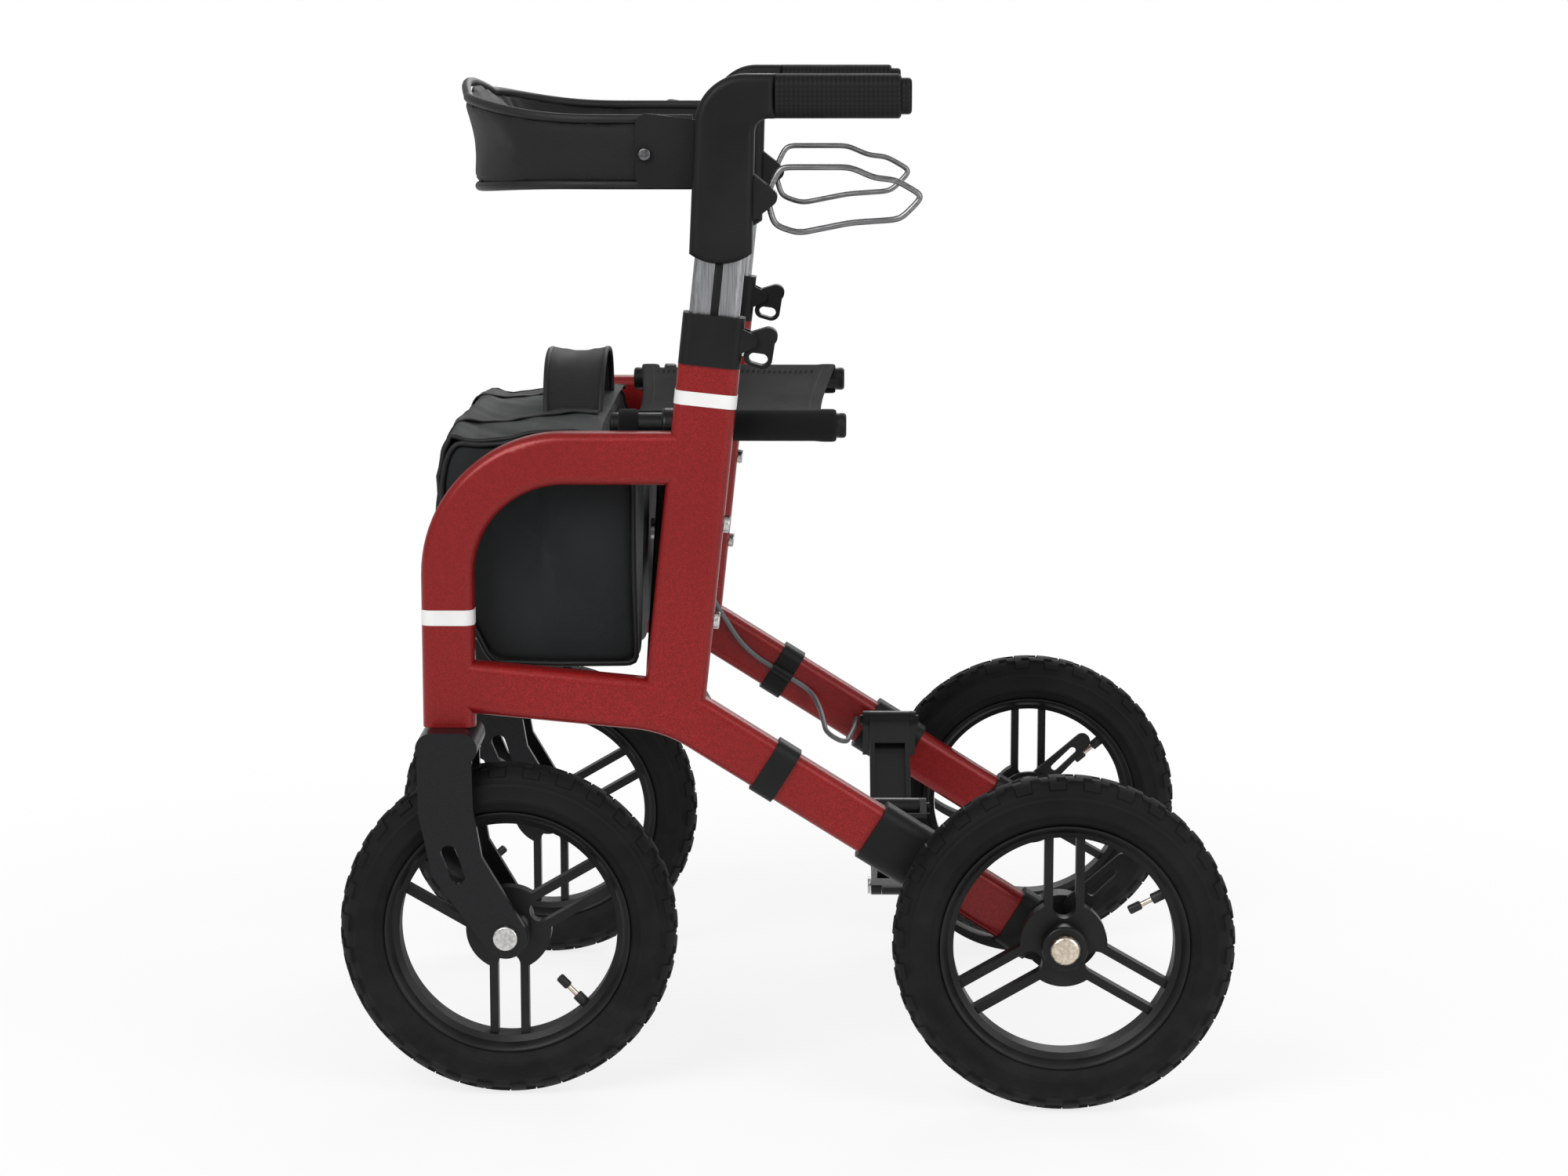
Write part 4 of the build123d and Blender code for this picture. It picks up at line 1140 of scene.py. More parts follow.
@dataclass(frozen=True)
class BackrestBand:
    """Padded backrest band that leaves one handle, flares round the front and ends at the other."""

    back_x: float = 0.079
    front_x: float = 0.268
    end_y: float = 0.232
    corner_r: float = 0.12
    low_z: float = 0.803
    height: float = 0.062
    top_rise: float = 0.029
    low_drop: float = 0.013
    lip: float = 0.029
    bow: float = 0.0055
    thick: float = 0.008
    border: float = 0.0042

    def half_length(self) -> float:
        """Length of the band from the middle of its front to an end."""
        return (self.end_y - self.corner_r) + math.pi / 2 * self.corner_r + (self.front_x - self.corner_r - self.back_x)

    def track(self, run: float) -> tuple[Vector, Vector, float]:
        """A place on the band's plan.

        Args:
            run: Length from the middle of the front, negative on the right.

        Returns:
            The point, the outward direction and the share of the front's flare.
        """
        side = 1 if run >= 0 else -1
        left = abs(run)
        flat = self.end_y - self.corner_r
        if left <= flat:
            return Vector((self.front_x, side * left, 0)), Vector((1, 0, 0)), 1 - 0.4 * (left / flat) ** 2
        turn = (left - flat) / self.corner_r
        centre = Vector((self.front_x - self.corner_r, side * flat, 0))
        if turn <= math.pi / 2:
            out = Vector((math.cos(turn), side * math.sin(turn), 0))
            return centre + out * self.corner_r, out, 0.6 * math.cos(turn) ** 3
        beyond = left - flat - math.pi / 2 * self.corner_r
        return Vector((centre.x - beyond, side * self.end_y, 0)), Vector((0, side, 0)), 0.0

    def surface(self, run: float, rise: float, lift: float) -> Vector:
        """A point of the band.

        Args:
            run: Length from the middle of the front.
            rise: 0 at the low edge, 1 at the top.
            lift: Distance outside the band's middle.

        Returns:
            The point.
        """
        place, out, share = self.track(run)
        low = self.low_z - self.low_drop * share
        top = self.low_z + self.height + self.top_rise * share
        bend = 4 * rise * (1 - rise)
        flare = self.lip * share * (rise**2 + 0.4 * (1 - rise) ** 2)
        reach = flare - (0.0004 + self.bow * share) * bend + lift
        return Vector((*(place + out * reach).xy, low + (top - low) * rise))

    def build(self) -> None:
        """Models the pad, its bound edges and its seams."""
        half = self.half_length()
        clear_selection()
        bpy.ops.mesh.primitive_cube_add(size=1)
        pad = settle(named("backrest_pad"))
        open_edit(pad, "EDGE")
        bpy.ops.mesh.select_all(action="SELECT")
        bpy.ops.mesh.subdivide(number_cuts=3)
        pick_edges(pad, lambda a, b: abs(a.x - b.x) > 0.01)
        bpy.ops.mesh.subdivide(number_cuts=44)
        pick_edges(pad, lambda a, b: abs(a.z - b.z) > 0.01)
        bpy.ops.mesh.subdivide(number_cuts=5)
        close_edit()
        margin = 0.004

        def shape(at: Vector) -> Vector:
            """Bends the block round the front."""
            rise = 0.5 + at.z * (1 - 2 * margin / self.height)
            taper = 1 - 0.55 * abs(2 * at.z) ** 4
            quilt = 1 + 0.12 * ripple(at.x * 2 * half, 0.7) * (1 - abs(2 * at.z) ** 2)
            return self.surface(at.x * 2 * (half - 0.002), rise, at.y * self.thick * taper * quilt)

        form(pad, shape)
        outward(pad)
        puff(pad, 0.0035, 3.0, 0.004)
        unwrap(pad, self.chart)
        BAND_CLOTH.dress(pad)
        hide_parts("backrest_band")
        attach(pad, "handle_left")
        self.fold(pad)
        for rise, name in ((0.0, "low"), (1.0, "top")):
            self.binding(name, rise, half)
        self.seams(pad, half)
        log.info("backrest band built")

    def chart(self, at: Vector) -> tuple[float, float]:
        """Cloth lengths of a point, along the band and up it."""
        flat = self.end_y - self.corner_r
        if at.x > self.front_x - self.corner_r:
            off_y = max(abs(at.y) - flat, 0.0)
            turn = math.atan2(off_y, at.x - (self.front_x - self.corner_r))
            run = min(abs(at.y), flat) + turn * self.corner_r
        else:
            run = flat + math.pi / 2 * self.corner_r + self.front_x - self.corner_r - at.x
        return math.copysign(run, at.y), at.z

    def binding(self, name: str, rise: float, half: float) -> None:
        """Models the rolled binding of one long edge.

        Args:
            name: Which edge.
            rise: 0 for the low edge, 1 for the top.
            half: Half the band's length.
        """
        curve = bpy.data.curves.new(f"backrest_binding_{name}", "CURVE")
        curve.dimensions = "3D"
        curve.bevel_depth = self.border
        curve.bevel_resolution = 4
        curve.use_fill_caps = True
        line = curve.splines.new("POLY")
        line.points.add(160)
        inset = 0.05 if rise == 0 else 0.95
        for step, point in enumerate(line.points):
            point.co = (*self.surface((step / 80 - 1) * half, inset, 0), 1)
        roll = bpy.data.objects.new(curve.name, curve)
        bpy.context.scene.collection.objects.link(roll)
        take(roll)
        bpy.ops.object.convert(target="MESH")
        outward(roll)
        smooth(roll, 60)
        PIPING.dress(roll)
        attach(roll, "handle_left")
        self.fold(roll)

    def seams(self, pad: bpy.types.Object, half: float) -> None:
        """Models the stitches beside both bindings, outside and inside.

        Args:
            pad: The finished pad, whose cloth carries them.
            half: Half the band's length.
        """
        bpy.context.view_layer.update()
        for name, rise in (("low", 0.13), ("top", 0.87)):
            for face, lift in (("out", self.thick / 2 + 0.0022), ("in", -self.thick / 2 - 0.0022)):
                steps = 140
                near = [self.surface((step / steps * 2 - 1) * (half - 0.004), rise, lift) for step in range(steps + 1)]
                line = [pad.closest_point_on_mesh(spot)[1] for spot in near]
                normals = [self.track((step / steps * 2 - 1) * half)[1] for step in range(steps + 1)]
                seam = Stitching().build(f"backrest_stitches_{name}_{face}", line, normals)
                PIPING.dress(seam)
                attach(seam, "handle_left")
                self.fold(seam)

    def fold(self, piece: bpy.types.Object) -> None:
        """Gives a piece of the band a mesh of its own."""
        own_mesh(piece)


def trace(points: list[tuple[float, float]], count: int, rounds: int, closed: bool) -> list[Vector]:
    """Spaces points evenly along a drawn line and softens its corners.

    Args:
        points: The corners of the line.
        count: How many points it gets.
        rounds: How often the corners are softened.
        closed: Whether it returns to its start.

    Returns:
        The even points.
    """
    corners_2d = [Vector(point) for point in points]
    if closed:
        corners_2d.append(corners_2d[0])
    lengths = [(b - a).length for a, b in zip(corners_2d, corners_2d[1:])]
    total = sum(lengths)
    spaces = count if closed else count - 1
    even = []
    for step in range(count):
        gone = total * step / spaces
        leg = 0
        while leg < len(lengths) - 1 and gone > lengths[leg]:
            gone -= lengths[leg]
            leg += 1
        even.append(corners_2d[leg].lerp(corners_2d[leg + 1], gone / lengths[leg]))
    for _ in range(rounds):
        before = even[-1:] + even[:-1]
        after = even[1:] + even[:1]
        softer = [(a + 2 * b + c) / 4 for a, b, c in zip(before, even, after)]
        if not closed:
            softer[0], softer[-1] = even[0], even[-1]
        even = softer
    return even


def tube(name: str, line: list[Vector], radius: float, closed: bool = False) -> bpy.types.Object:
    """Models a round cord along points that follow a seam.

    Args:
        name: The piece's name.
        line: The points.
        radius: Its radius.
        closed: Whether it returns to its start.

    Returns:
        The cord as a mesh.
    """
    curve = bpy.data.curves.new(name, "CURVE")
    curve.dimensions = "3D"
    curve.bevel_depth = radius
    curve.bevel_resolution = 3
    curve.use_fill_caps = True
    spline = curve.splines.new("POLY")
    spline.points.add(len(line) - 1)
    for point, place in zip(spline.points, line):
        point.co = (*place, 1)
    spline.use_cyclic_u = closed
    piece = bpy.data.objects.new(name, curve)
    bpy.context.scene.collection.objects.link(piece)
    take(piece)
    bpy.ops.object.convert(target="MESH")
    outward(piece)
    smooth(piece, 60)
    return piece


@dataclass(frozen=True)
class Bag:
    """Soft bag between the side frames, with a flap, two straps and a loop to each frame."""

    half_w: float = 0.2035
    corner: float = 0.014
    bulge: float = 0.007
    sag: float = 0.004
    middle: tuple[float, float] = (0.215, 0.49)
    around: int = 120
    flap_half: float = 0.197
    strap_y: float = 0.105
    strap_w: float = 0.025
    loop_xs: tuple[float, float] = (0.185, 0.245)
    loop_z: float = 0.566
    handle_x: tuple[float, float] = (0.1675, 0.2215)
    handle_y: float = 0.088
    handle_rise: float = 0.051

    def body_line(self) -> list[Vector]:
        """Side outline of the bag, evenly spaced."""
        drawn = [
            (0.13, 0.379),
            (0.2, 0.3775),
            (0.262, 0.3795),
            (0.285, 0.424),
            (0.299, 0.468),
            (0.3055, 0.51),
            (0.305, 0.545),
            (0.3005, 0.567),
            (0.2915, 0.5815),
            (0.276, 0.578),
            (0.25, 0.5795),
            (0.222, 0.5855),
            (0.19, 0.588),
            (0.164, 0.586),
            (0.1635, 0.566),
            (0.131, 0.549),
            (0.131, 0.46),
        ]
        return trace(drawn, self.around, 2, True)

    def flap_line(self) -> list[Vector]:
        """Side outline of the flap, from its seam at the back to its free end."""
        drawn = [
            (0.162, 0.5905),
            (0.19, 0.5925),
            (0.222, 0.59),
            (0.25, 0.5845),
            (0.275, 0.5825),
            (0.2955, 0.587),
            (0.3045, 0.569),
            (0.309, 0.545),
            (0.3095, 0.51),
            (0.3035, 0.472),
        ]
        return trace(drawn, 90, 2, False)

    def attach(self, piece: bpy.types.Object) -> None:
        """Lets a piece ride with the left frame, with a mesh of its own."""
        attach(piece, "left_frame")
        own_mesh(piece)

    def build(self) -> None:
        """Models the whole bag."""
        self.shell()
        self.flap()
        self.handle()
        for side in Side:
            self.piping(side)
            self.strap(side)
            self.frame_loop(side)
        log.info("bag built")

    def shell(self) -> None:
        """Models the bag's body with its hanging folds."""
        line = self.body_line()
        centre = Vector(self.middle)
        clear_selection()
        bpy.ops.mesh.primitive_uv_sphere_add(segments=self.around, ring_count=84, radius=1, rotation=(math.pi / 2, 0, 0))
        shell = settle(named("bag_shell"))
        wall, turn_end = 0.62, 0.74

        def shape(at: Vector) -> Vector:
            """Turns the ball into the sewn bag."""
            lat = math.asin(max(-1.0, min(1.0, at.y))) / (math.pi / 2)
            side, away = (1 if lat >= 0 else -1), abs(lat)
            spot = line[round(math.atan2(at.z, at.x) / (2 * math.pi) * self.around) % self.around]
            inward, across = 0.0, self.half_w - self.corner
            rho = 1.0
            if away <= wall:
                across *= away / wall
            elif away <= turn_end:
                turn = (away - wall) / (turn_end - wall) * math.pi / 2
                across += self.corner * math.sin(turn)
                inward = self.corner * (1 - math.cos(turn))
            else:
                rho = ((1 - away) / (1 - turn_end)) ** 0.9
                across, inward = self.half_w, self.corner
            reach = (spot - centre).length
            place = centre + (spot - centre) * (rho * (reach - inward) / reach)
            y = side * across
            folds = ripple(place.x + 0.35 * side, 2.1) * min(1.0, 2.4 * (1 - rho))
            if away > turn_end:
                y += side * ((1 - rho**2) * self.bulge + folds * 0.0042 * (1 - 0.5 * abs(place.y - 0.47) / 0.13))
            sway = 0.0032 * ripple(y + 0.5 * place.y, 0.4) * (1 - (abs(y) / self.half_w) ** 4)
            droop = self.sag * (1 - (y / self.half_w) ** 2) * max(0.0, 1 - (place.y - 0.378) / 0.1)
            droop += 0.004 * (1 - (y / self.half_w) ** 2) * max(0.0, (place.y - 0.54) / 0.045)
            heading = (place - centre).normalized()
            place = place + heading * (sway - 0.0015)
            return Vector((place.x, y, place.y - droop))

        form(shell, shape)
        outward(shell)
        modify(shell, "SMOOTH", factor=0.5, iterations=2)
        modify(shell, "SUBSURF", levels=1, render_levels=1)
        unwrap(shell, self.chart)
        BAG_CLOTH.dress(shell)
        smooth(shell, 180)
        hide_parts("bag")
        self.attach(shell)

    def chart(self, at: Vector) -> tuple[float, float]:
        """Cloth lengths of a point on the bag."""
        if abs(at.y) > self.half_w - 0.006:
            return at.x, at.z
        return at.y, math.atan2(at.z - self.middle[1], at.x - self.middle[0]) * 0.13

    def over(self, line: list[Vector], share: float, lift: float) -> Vector:
        """A point on a drawn line, as X and Z, lifted off it.

        Args:
            line: The line's even points.
            share: 0 at its start, 1 at its end.
            lift: How far outside it.

        Returns:
            The point with Y zero.
        """
        spot = min(share * (len(line) - 1), len(line) - 1.001)
        first = int(spot)
        here = line[first].lerp(line[first + 1], spot - first)
        run = (line[min(first + 2, len(line) - 1)] - line[max(first - 1, 0)]).normalized()
        return Vector((here.x - run.y * lift, 0, here.y + run.x * lift))

    def wave(self, along: float, y: float) -> float:
        """How far the flap's cloth stands off its even line, which its straps follow."""
        return 0.0024 * ripple(y * 0.6 + 0.3 * along, 3.3) * (0.3 + 0.7 * along)

    def flap(self) -> None:
        """Models the flap that hangs over the front, its hem and its stitches."""
        line = self.flap_line()
        length = sum((b - a).length for a, b in zip(line, line[1:]))
        clear_selection()
        bpy.ops.mesh.primitive_grid_add(x_subdivisions=76, y_subdivisions=80, size=1)
        flap = settle(named("bag_flap"))

        def lay(along: float, across: float, lift: float) -> Vector:
            """Lays a point of the flap over the bag."""
            share = along * (1 - 0.05 * abs(across) ** 8)
            narrow = 1 - 0.48 * max(0.0, along - 0.75) ** 2
            y = across * self.flap_half * narrow
            place = self.over(line, share, lift + self.wave(along, y) - 0.006 * abs(across) ** 6 * (1 - along * 0.4))
            place.y = y
            return place

        form(flap, lambda at: lay(at.x + 0.5, at.y * 2, 0.0016))
        outward(flap)
        modify(flap, "SOLIDIFY", thickness=0.0018, offset=0, use_rim=True)
        modify(flap, "SUBSURF", levels=1, render_levels=1)
        unwrap(flap, lambda at: (at.y, at.z - 0.7 * at.x))
        BAG_CLOTH.dress(flap)
        smooth(flap, 60)
        self.attach(flap)
        border = [lay(step / 30, -1, 0.0016) for step in range(30)]
        border += [lay(1, step / 20 - 1, 0.0016) for step in range(41)]
        border += [lay(1 - (step + 1) / 30, 1, 0.0016) for step in range(30)]
        hem = tube("bag_flap_binding", border, 0.0024)
        PIPING.dress(hem)
        self.attach(hem)
        seam_line = [lay(0.955, (step / 60 - 1) * 0.96, 0.0032) for step in range(121)]
        seam = Stitching().build("bag_flap_stitches", seam_line, [Vector((1, 0, 0))] * len(seam_line))
        PIPING.dress(seam)
        self.attach(seam)

    def piping(self, side: Side) -> None:
        """Models the piped edge of one end of the bag."""
        y = side.value * (self.half_w - 0.0035)
        centre = Vector(self.middle)
        line = []
        for spot in self.body_line():
            reach = (spot - centre).length
            place = centre + (spot - centre) * ((reach - 0.0028) / reach)
            line.append(Vector((place.x, y, place.y)))
        cord = tube(f"bag_piping_{side.word}", line, 0.0026, True)
        PIPING.dress(cord)
        self.attach(cord)

    def strap(self, side: Side) -> None:
        """Models one webbing strap over the flap and its buckle."""
        front = [(point.x, point.y) for point in self.flap_line()[3:]] + [(0.3005, 0.462), (0.291, 0.432), (0.2825, 0.405)]
        line = trace(front, 90, 1, False)
        flap_share = 0.83
        clear_selection()
        bpy.ops.mesh.primitive_grid_add(x_subdivisions=80, y_subdivisions=6, size=1)
        strap = settle(named(f"bag_strap_{side.word}"))

        def lay(at: Vector) -> Vector:
            """Lays the webbing over the flap."""
            y = side.value * self.strap_y + at.y * self.strap_w
            along = (at.x + 0.5) / flap_share
            place = self.over(line, at.x + 0.5, 0.0036 + self.wave(min(along, 1.0), y) * min(1.0, 3 - 2 * along))
            place.y = y
            return place

        form(strap, lay)
        outward(strap)
        modify(strap, "SOLIDIFY", thickness=0.0016, offset=0, use_rim=True)
        modify(strap, "BEVEL", width=0.0004, segments=2, limit_method="ANGLE")
        unwrap(strap, lambda at: (at.y, at.z - 0.7 * at.x))
        WEBBING.dress(strap)
        smooth(strap, 50)
        self.attach(strap)
        place = self.over(line, 0.79, 0.0085)
        place.y = side.value * self.strap_y
        ahead = self.over(line, 0.82, 0.0085)
        lean = math.atan2(place.x - ahead.x, place.z - ahead.z)
        body = block(f"bag_buckle_{side.word}", (0.008, 0.036, 0.042), tuple(place), 0.0022, (0, lean, 0))
        open_edit(body)
        pick_faces(body, lambda centre, normal: normal.x > 0.9)
        bpy.ops.mesh.inset(thickness=0.005, depth=-0.0016)
        close_edit()
        smooth(body, 40)
        PLASTIC.dress(body)
        self.attach(body)
        for end in (-1, 1):
            prong = block(
                f"bag_buckle_prong_{side.word}_{'low' if end < 0 else 'high'}",
                (0.006, 0.03, 0.006),
                (place.x + 0.0015 - end * 0.026 * math.sin(-lean), place.y, place.z + end * 0.025),
                0.0018,
                (0, lean, 0),
            )
            PLASTIC.dress(prong)
            self.attach(prong)

    def handle(self) -> None:
        """Models the wide carrying handle that arches over the middle of the flap."""
        back, front = self.handle_x
        clear_selection()
        bpy.ops.mesh.primitive_cube_add(size=1)
        handle = settle(named("bag_handle"))
        open_edit(handle, "EDGE")
        pick_edges(handle, lambda a, b: abs(a.y - b.y) > 0.5)
        bpy.ops.mesh.subdivide(number_cuts=47)
        pick_edges(handle, lambda a, b: abs(a.x - b.x) > 0.5)
        bpy.ops.mesh.subdivide(number_cuts=11)
        close_edit()
        top = 0.591

        def bend(across: float, along: float, lift: float) -> Vector:
            """Bends the handle into its arch."""
            rise = max(0.0, 1 - abs(across) ** 2.6) ** 0.75
            dip = 0.0042 * (1 - (2 * along) ** 2) * rise
            crease = 0.0012 * ripple(along * 0.5 + across * 0.05, 2.6) * rise
            z = top + self.handle_rise * rise - dip + crease
            x = (front + back) / 2 + along * (front - back) * (1 - 0.06 * (1 - rise))
            out = Vector((0, across**3, max(0.25, 1 - across**2))).normalized()
            return Vector((x, across * self.handle_y, z)) + out * lift

        form(handle, lambda at: bend(at.y * 2, at.x, at.z * 0.0045 * (1 - 0.5 * abs(2 * at.x) ** 6)))
        outward(handle)
        modify(handle, "SUBSURF", levels=1, render_levels=1)
        unwrap(handle, lambda at: (at.x, at.y + at.z))
        WEBBING.dress(handle)
        smooth(handle, 60)
        self.attach(handle)
        for edge in (-1, 1):
            line = [bend(step / 30 - 1, edge * 0.485, 0.0) for step in range(61)]
            cord = tube(f"bag_handle_binding_{'back' if edge < 0 else 'front'}", line, 0.0027)
            PIPING.dress(cord)
            self.attach(cord)

    def frame_loop(self, side: Side) -> None:
        """Models the webbing loops that tie the bag to one frame's hoop."""
        inner, outer = self.half_w - 0.003, 0.2262
        for number, x in enumerate(self.loop_xs):
            loop = block(
                f"bag_loop_{side.word}_{number + 1}",
                (0.024, outer - inner, 0.0036),
                (x, side.value * (inner + outer) / 2, self.loop_z),
                0.0009,
            )
            WEBBING.dress(loop)
            unwrap(loop, lambda at: (at.x, at.y))
            self.attach(loop)


# Wheels and small hardware


@dataclass(frozen=True)
class Tyre:
    """Air-filled tyre with a blocked tread and ringed side walls."""

    ring_r: float = 0.124
    carcass_r: float = 0.0242
    lug: float = 0.0018
    bed_r: float = 0.102
    around: int = 120
    section: int = 32

    def master(self) -> bpy.types.Object:
        """Models one tyre round the origin, its axle along Y."""
        clear_selection()
        bpy.ops.mesh.primitive_circle_add(
            vertices=self.section, radius=self.carcass_r, location=(self.ring_r, 0, 0), rotation=(0, 0, math.pi / self.section)
        )
        tyre = settle(named("tyre_master"))
        open_edit(tyre, "VERT")
        bpy.ops.mesh.select_all(action="SELECT")
        bpy.ops.mesh.spin(steps=self.around, angle=2 * math.pi, center=(0, 0, 0), axis=(0, 1, 0))
        close_edit()
        outward(tyre, 0.0001)

        def seat(at: Vector) -> Vector:
            """Presses the inner side onto the rim's bed."""
            reach = math.hypot(at.x, at.z)
            if reach >= self.bed_r:
                return at
            return Vector((at.x * self.bed_r / reach, at.y, at.z * self.bed_r / reach))

        form(tyre, seat)
        open_edit(tyre)
        pick_faces(tyre, lambda centre, normal: self.is_lug(centre))
        bpy.ops.mesh.inset(thickness=0.0007, depth=self.lug)
        bpy.ops.mesh.select_all(action="DESELECT")
        for low, high, depth in ((62, 74, 0.0007), (96, 108, 0.0006), (126, 136, -0.0005)):
            pick_faces(tyre, lambda centre, normal: low < self.lean(centre) < high)
            bpy.ops.mesh.inset(thickness=0.001, depth=depth)
        close_edit()
        smooth(tyre, 28)
        return tyre

    def lean(self, centre: Vector) -> float:
        """Angle of a place round the tyre's section, 0 at the crown, in degrees."""
        return math.degrees(math.atan2(abs(centre.y), math.hypot(centre.x, centre.z) - self.ring_r))

    def is_lug(self, centre: Vector) -> bool:
        """Whether a face of the carcass carries a block of tread."""
        step = round(math.atan2(centre.z, centre.x) / (2 * math.pi) * self.around - 0.5)
        row = self.lean(centre)
        if row < 12:
            return step % 3 != 0
        if row < 24:
            return (step + (1 if centre.y > 0 else 2)) % 3 != 0
        if row < 46:
            return (step + (2 if centre.y > 0 else 1)) % 4 > 1
        return False

    def build(self, wheels: list["Wheel"]) -> None:
        """Puts a copy on every wheel."""
        master = self.master()
        for wheel in wheels:
            tyre = copy_of(master, f"tyre_{wheel.name}")
            tyre.data.transform(Matrix.Translation(wheel.hub))
            TYRE.dress(tyre)
            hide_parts(wheel.node)
            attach(tyre, wheel.body)
        bpy.data.objects.remove(master)
        log.info("tyres built")


@dataclass(frozen=True)
class Wheel:
    """Where one wheel stands and what it is called."""

    name: str
    node: str
    body: str
    hub: Point
    valve_deg: float


@dataclass(frozen=True)
class RimLip:
    """Flange of the rim that shows as a dark ring beside the tyre, one on each face."""

    ring_r: float = 0.1045
    out: float = 0.0163
    half_t: float = 0.0015
    half_long: float = 0.0066
    lean_deg: float = 53.0

    def master(self) -> bpy.types.Object:
        """Models the ring on the +Y face of a wheel round the origin."""
        clear_selection()
        bpy.ops.mesh.primitive_torus_add(
            major_radius=self.ring_r, minor_radius=self.half_t, major_segments=120, minor_segments=16, rotation=(math.pi / 2, 0, 0)
        )
        lip = settle(named("rim_lip_master"))
        turn = math.radians(self.lean_deg)
        stretch = self.half_long / self.half_t

        def draw_out(at: Vector) -> Vector:
            """Draws the ring's round section out into a leaning flange."""
            reach = math.hypot(at.x, at.z)
            away = reach - self.ring_r
            long = (away * math.cos(turn) + at.y * math.sin(turn)) * stretch
            cross = at.y * math.cos(turn) - away * math.sin(turn)
            wide = (self.ring_r + long * math.cos(turn) - cross * math.sin(turn)) / reach
            return Vector((at.x * wide, self.out + long * math.sin(turn) + cross * math.cos(turn), at.z * wide))

        form(lip, draw_out)
        outward(lip)
        smooth(lip, 60)
        return lip

    def build(self, wheels: list[Wheel]) -> None:
        """Puts both rings on every wheel."""
        faces = {Side.LEFT: self.master()}
        faces[Side.RIGHT] = mirrored_copy(faces[Side.LEFT], "rim_lip_mirror")
        for wheel in wheels:
            for side, master in faces.items():
                lip = copy_of(master, f"rim_lip_{wheel.name}_{side.word}_face")
                lip.data.transform(Matrix.Translation(wheel.hub))
                WHEEL.dress(lip)
                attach(lip, wheel.body)
        for master in faces.values():
            bpy.data.objects.remove(master)
        log.info("rim lips built")


@dataclass(frozen=True)
class Valve:
    """Valve stem on the rim's inner side, with its cap."""

    rim_r: float = 0.0975
    foot_r: float = 0.0048
    stem_r: float = 0.0027
    cap_r: float = 0.0037
    reach: float = 0.034

    def build(self, wheel: Wheel) -> None:
        """Models one wheel's valve.

        Args:
            wheel: The wheel that carries it.
        """
        turn = math.radians(wheel.valve_deg)
        out = Vector((math.cos(turn), 0, math.sin(turn)))
        hub = Vector(wheel.hub)

        def at(depth: float) -> Point:
            """A point on the valve's axis, measured inward from the rim."""
            return tuple(hub + out * (self.rim_r - depth))

        foot = rod(f"valve_foot_{wheel.name}", self.foot_r, (at(-0.0015), at(0.012)), 24, 0.0012)
        open_edit(foot)
        pick_faces(foot, lambda centre, normal: normal.dot(-out) > 0.9)
        bpy.ops.transform.resize(value=(0.62, 0.62, 0.62))
        close_edit()
        VALVE_CAP.dress(foot)
        stem = rod(f"valve_stem_{wheel.name}", self.stem_r, (at(0.008), at(0.024)), 24, 0.0003)
        self.thread(stem, out)
        BRASS.dress(stem)
        cap = rod(f"valve_cap_{wheel.name}", self.cap_r, (at(0.022), at(self.reach)), 24, 0.0009)
        self.knurl(cap, out)
        VALVE_CAP.dress(cap)
        for piece, slot in ((foot, "tyre_rubber"), (stem, "axle_steel"), (cap, "black_plastic")):
            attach(piece, wheel.body)

    def thread(self, stem: bpy.types.Object, out: Vector) -> None:
        """Cuts rings into the stem."""
        middle = self.centre(stem)
        open_edit(stem)
        for step in range(8):
            bpy.ops.mesh.select_all(action="SELECT")
            bpy.ops.mesh.bisect(plane_co=middle + out * (step - 3.5) * 0.0018, plane_no=out)
        close_edit()

        def groove(at: Vector) -> Vector:
            """Draws every cut ring in a little."""
            along = (at - middle).dot(out)
            away = at - middle - out * along
            near = abs(along / 0.0018 - round(along / 0.0018 - 0.5) - 0.5) < 0.02
            return middle + out * along + away * (0.86 if near else 1.0)

        form(stem, groove)
        smooth(stem, 20)

    def centre(self, piece: bpy.types.Object) -> Vector:
        """Middle of a piece's box."""
        places = [vertex.co for vertex in piece.data.vertices]
        low = Vector(min(place[axis] for place in places) for axis in range(3))
        high = Vector(max(place[axis] for place in places) for axis in range(3))
        return (low + high) / 2

    def knurl(self, cap: bpy.types.Object, out: Vector) -> None:
        """Raises ribs on every other side of the cap."""
        middle = self.centre(cap)
        side = Vector((0, 1, 0))
        up = out.cross(side)
        open_edit(cap)

        def ribbed(centre: Vector, normal: Vector) -> bool:
            """Whether a face is a rib of the cap."""
            if abs(normal.dot(out)) > 0.2:
                return False
            turn = math.atan2((centre - middle).dot(up), (centre - middle).dot(side))
            return round(turn / (2 * math.pi) * 24 - 0.5) % 2 == 0

        pick_faces(cap, ribbed)
        bpy.ops.mesh.inset(thickness=0.0001, depth=0.00035)
        close_edit()
        smooth(cap, 30)


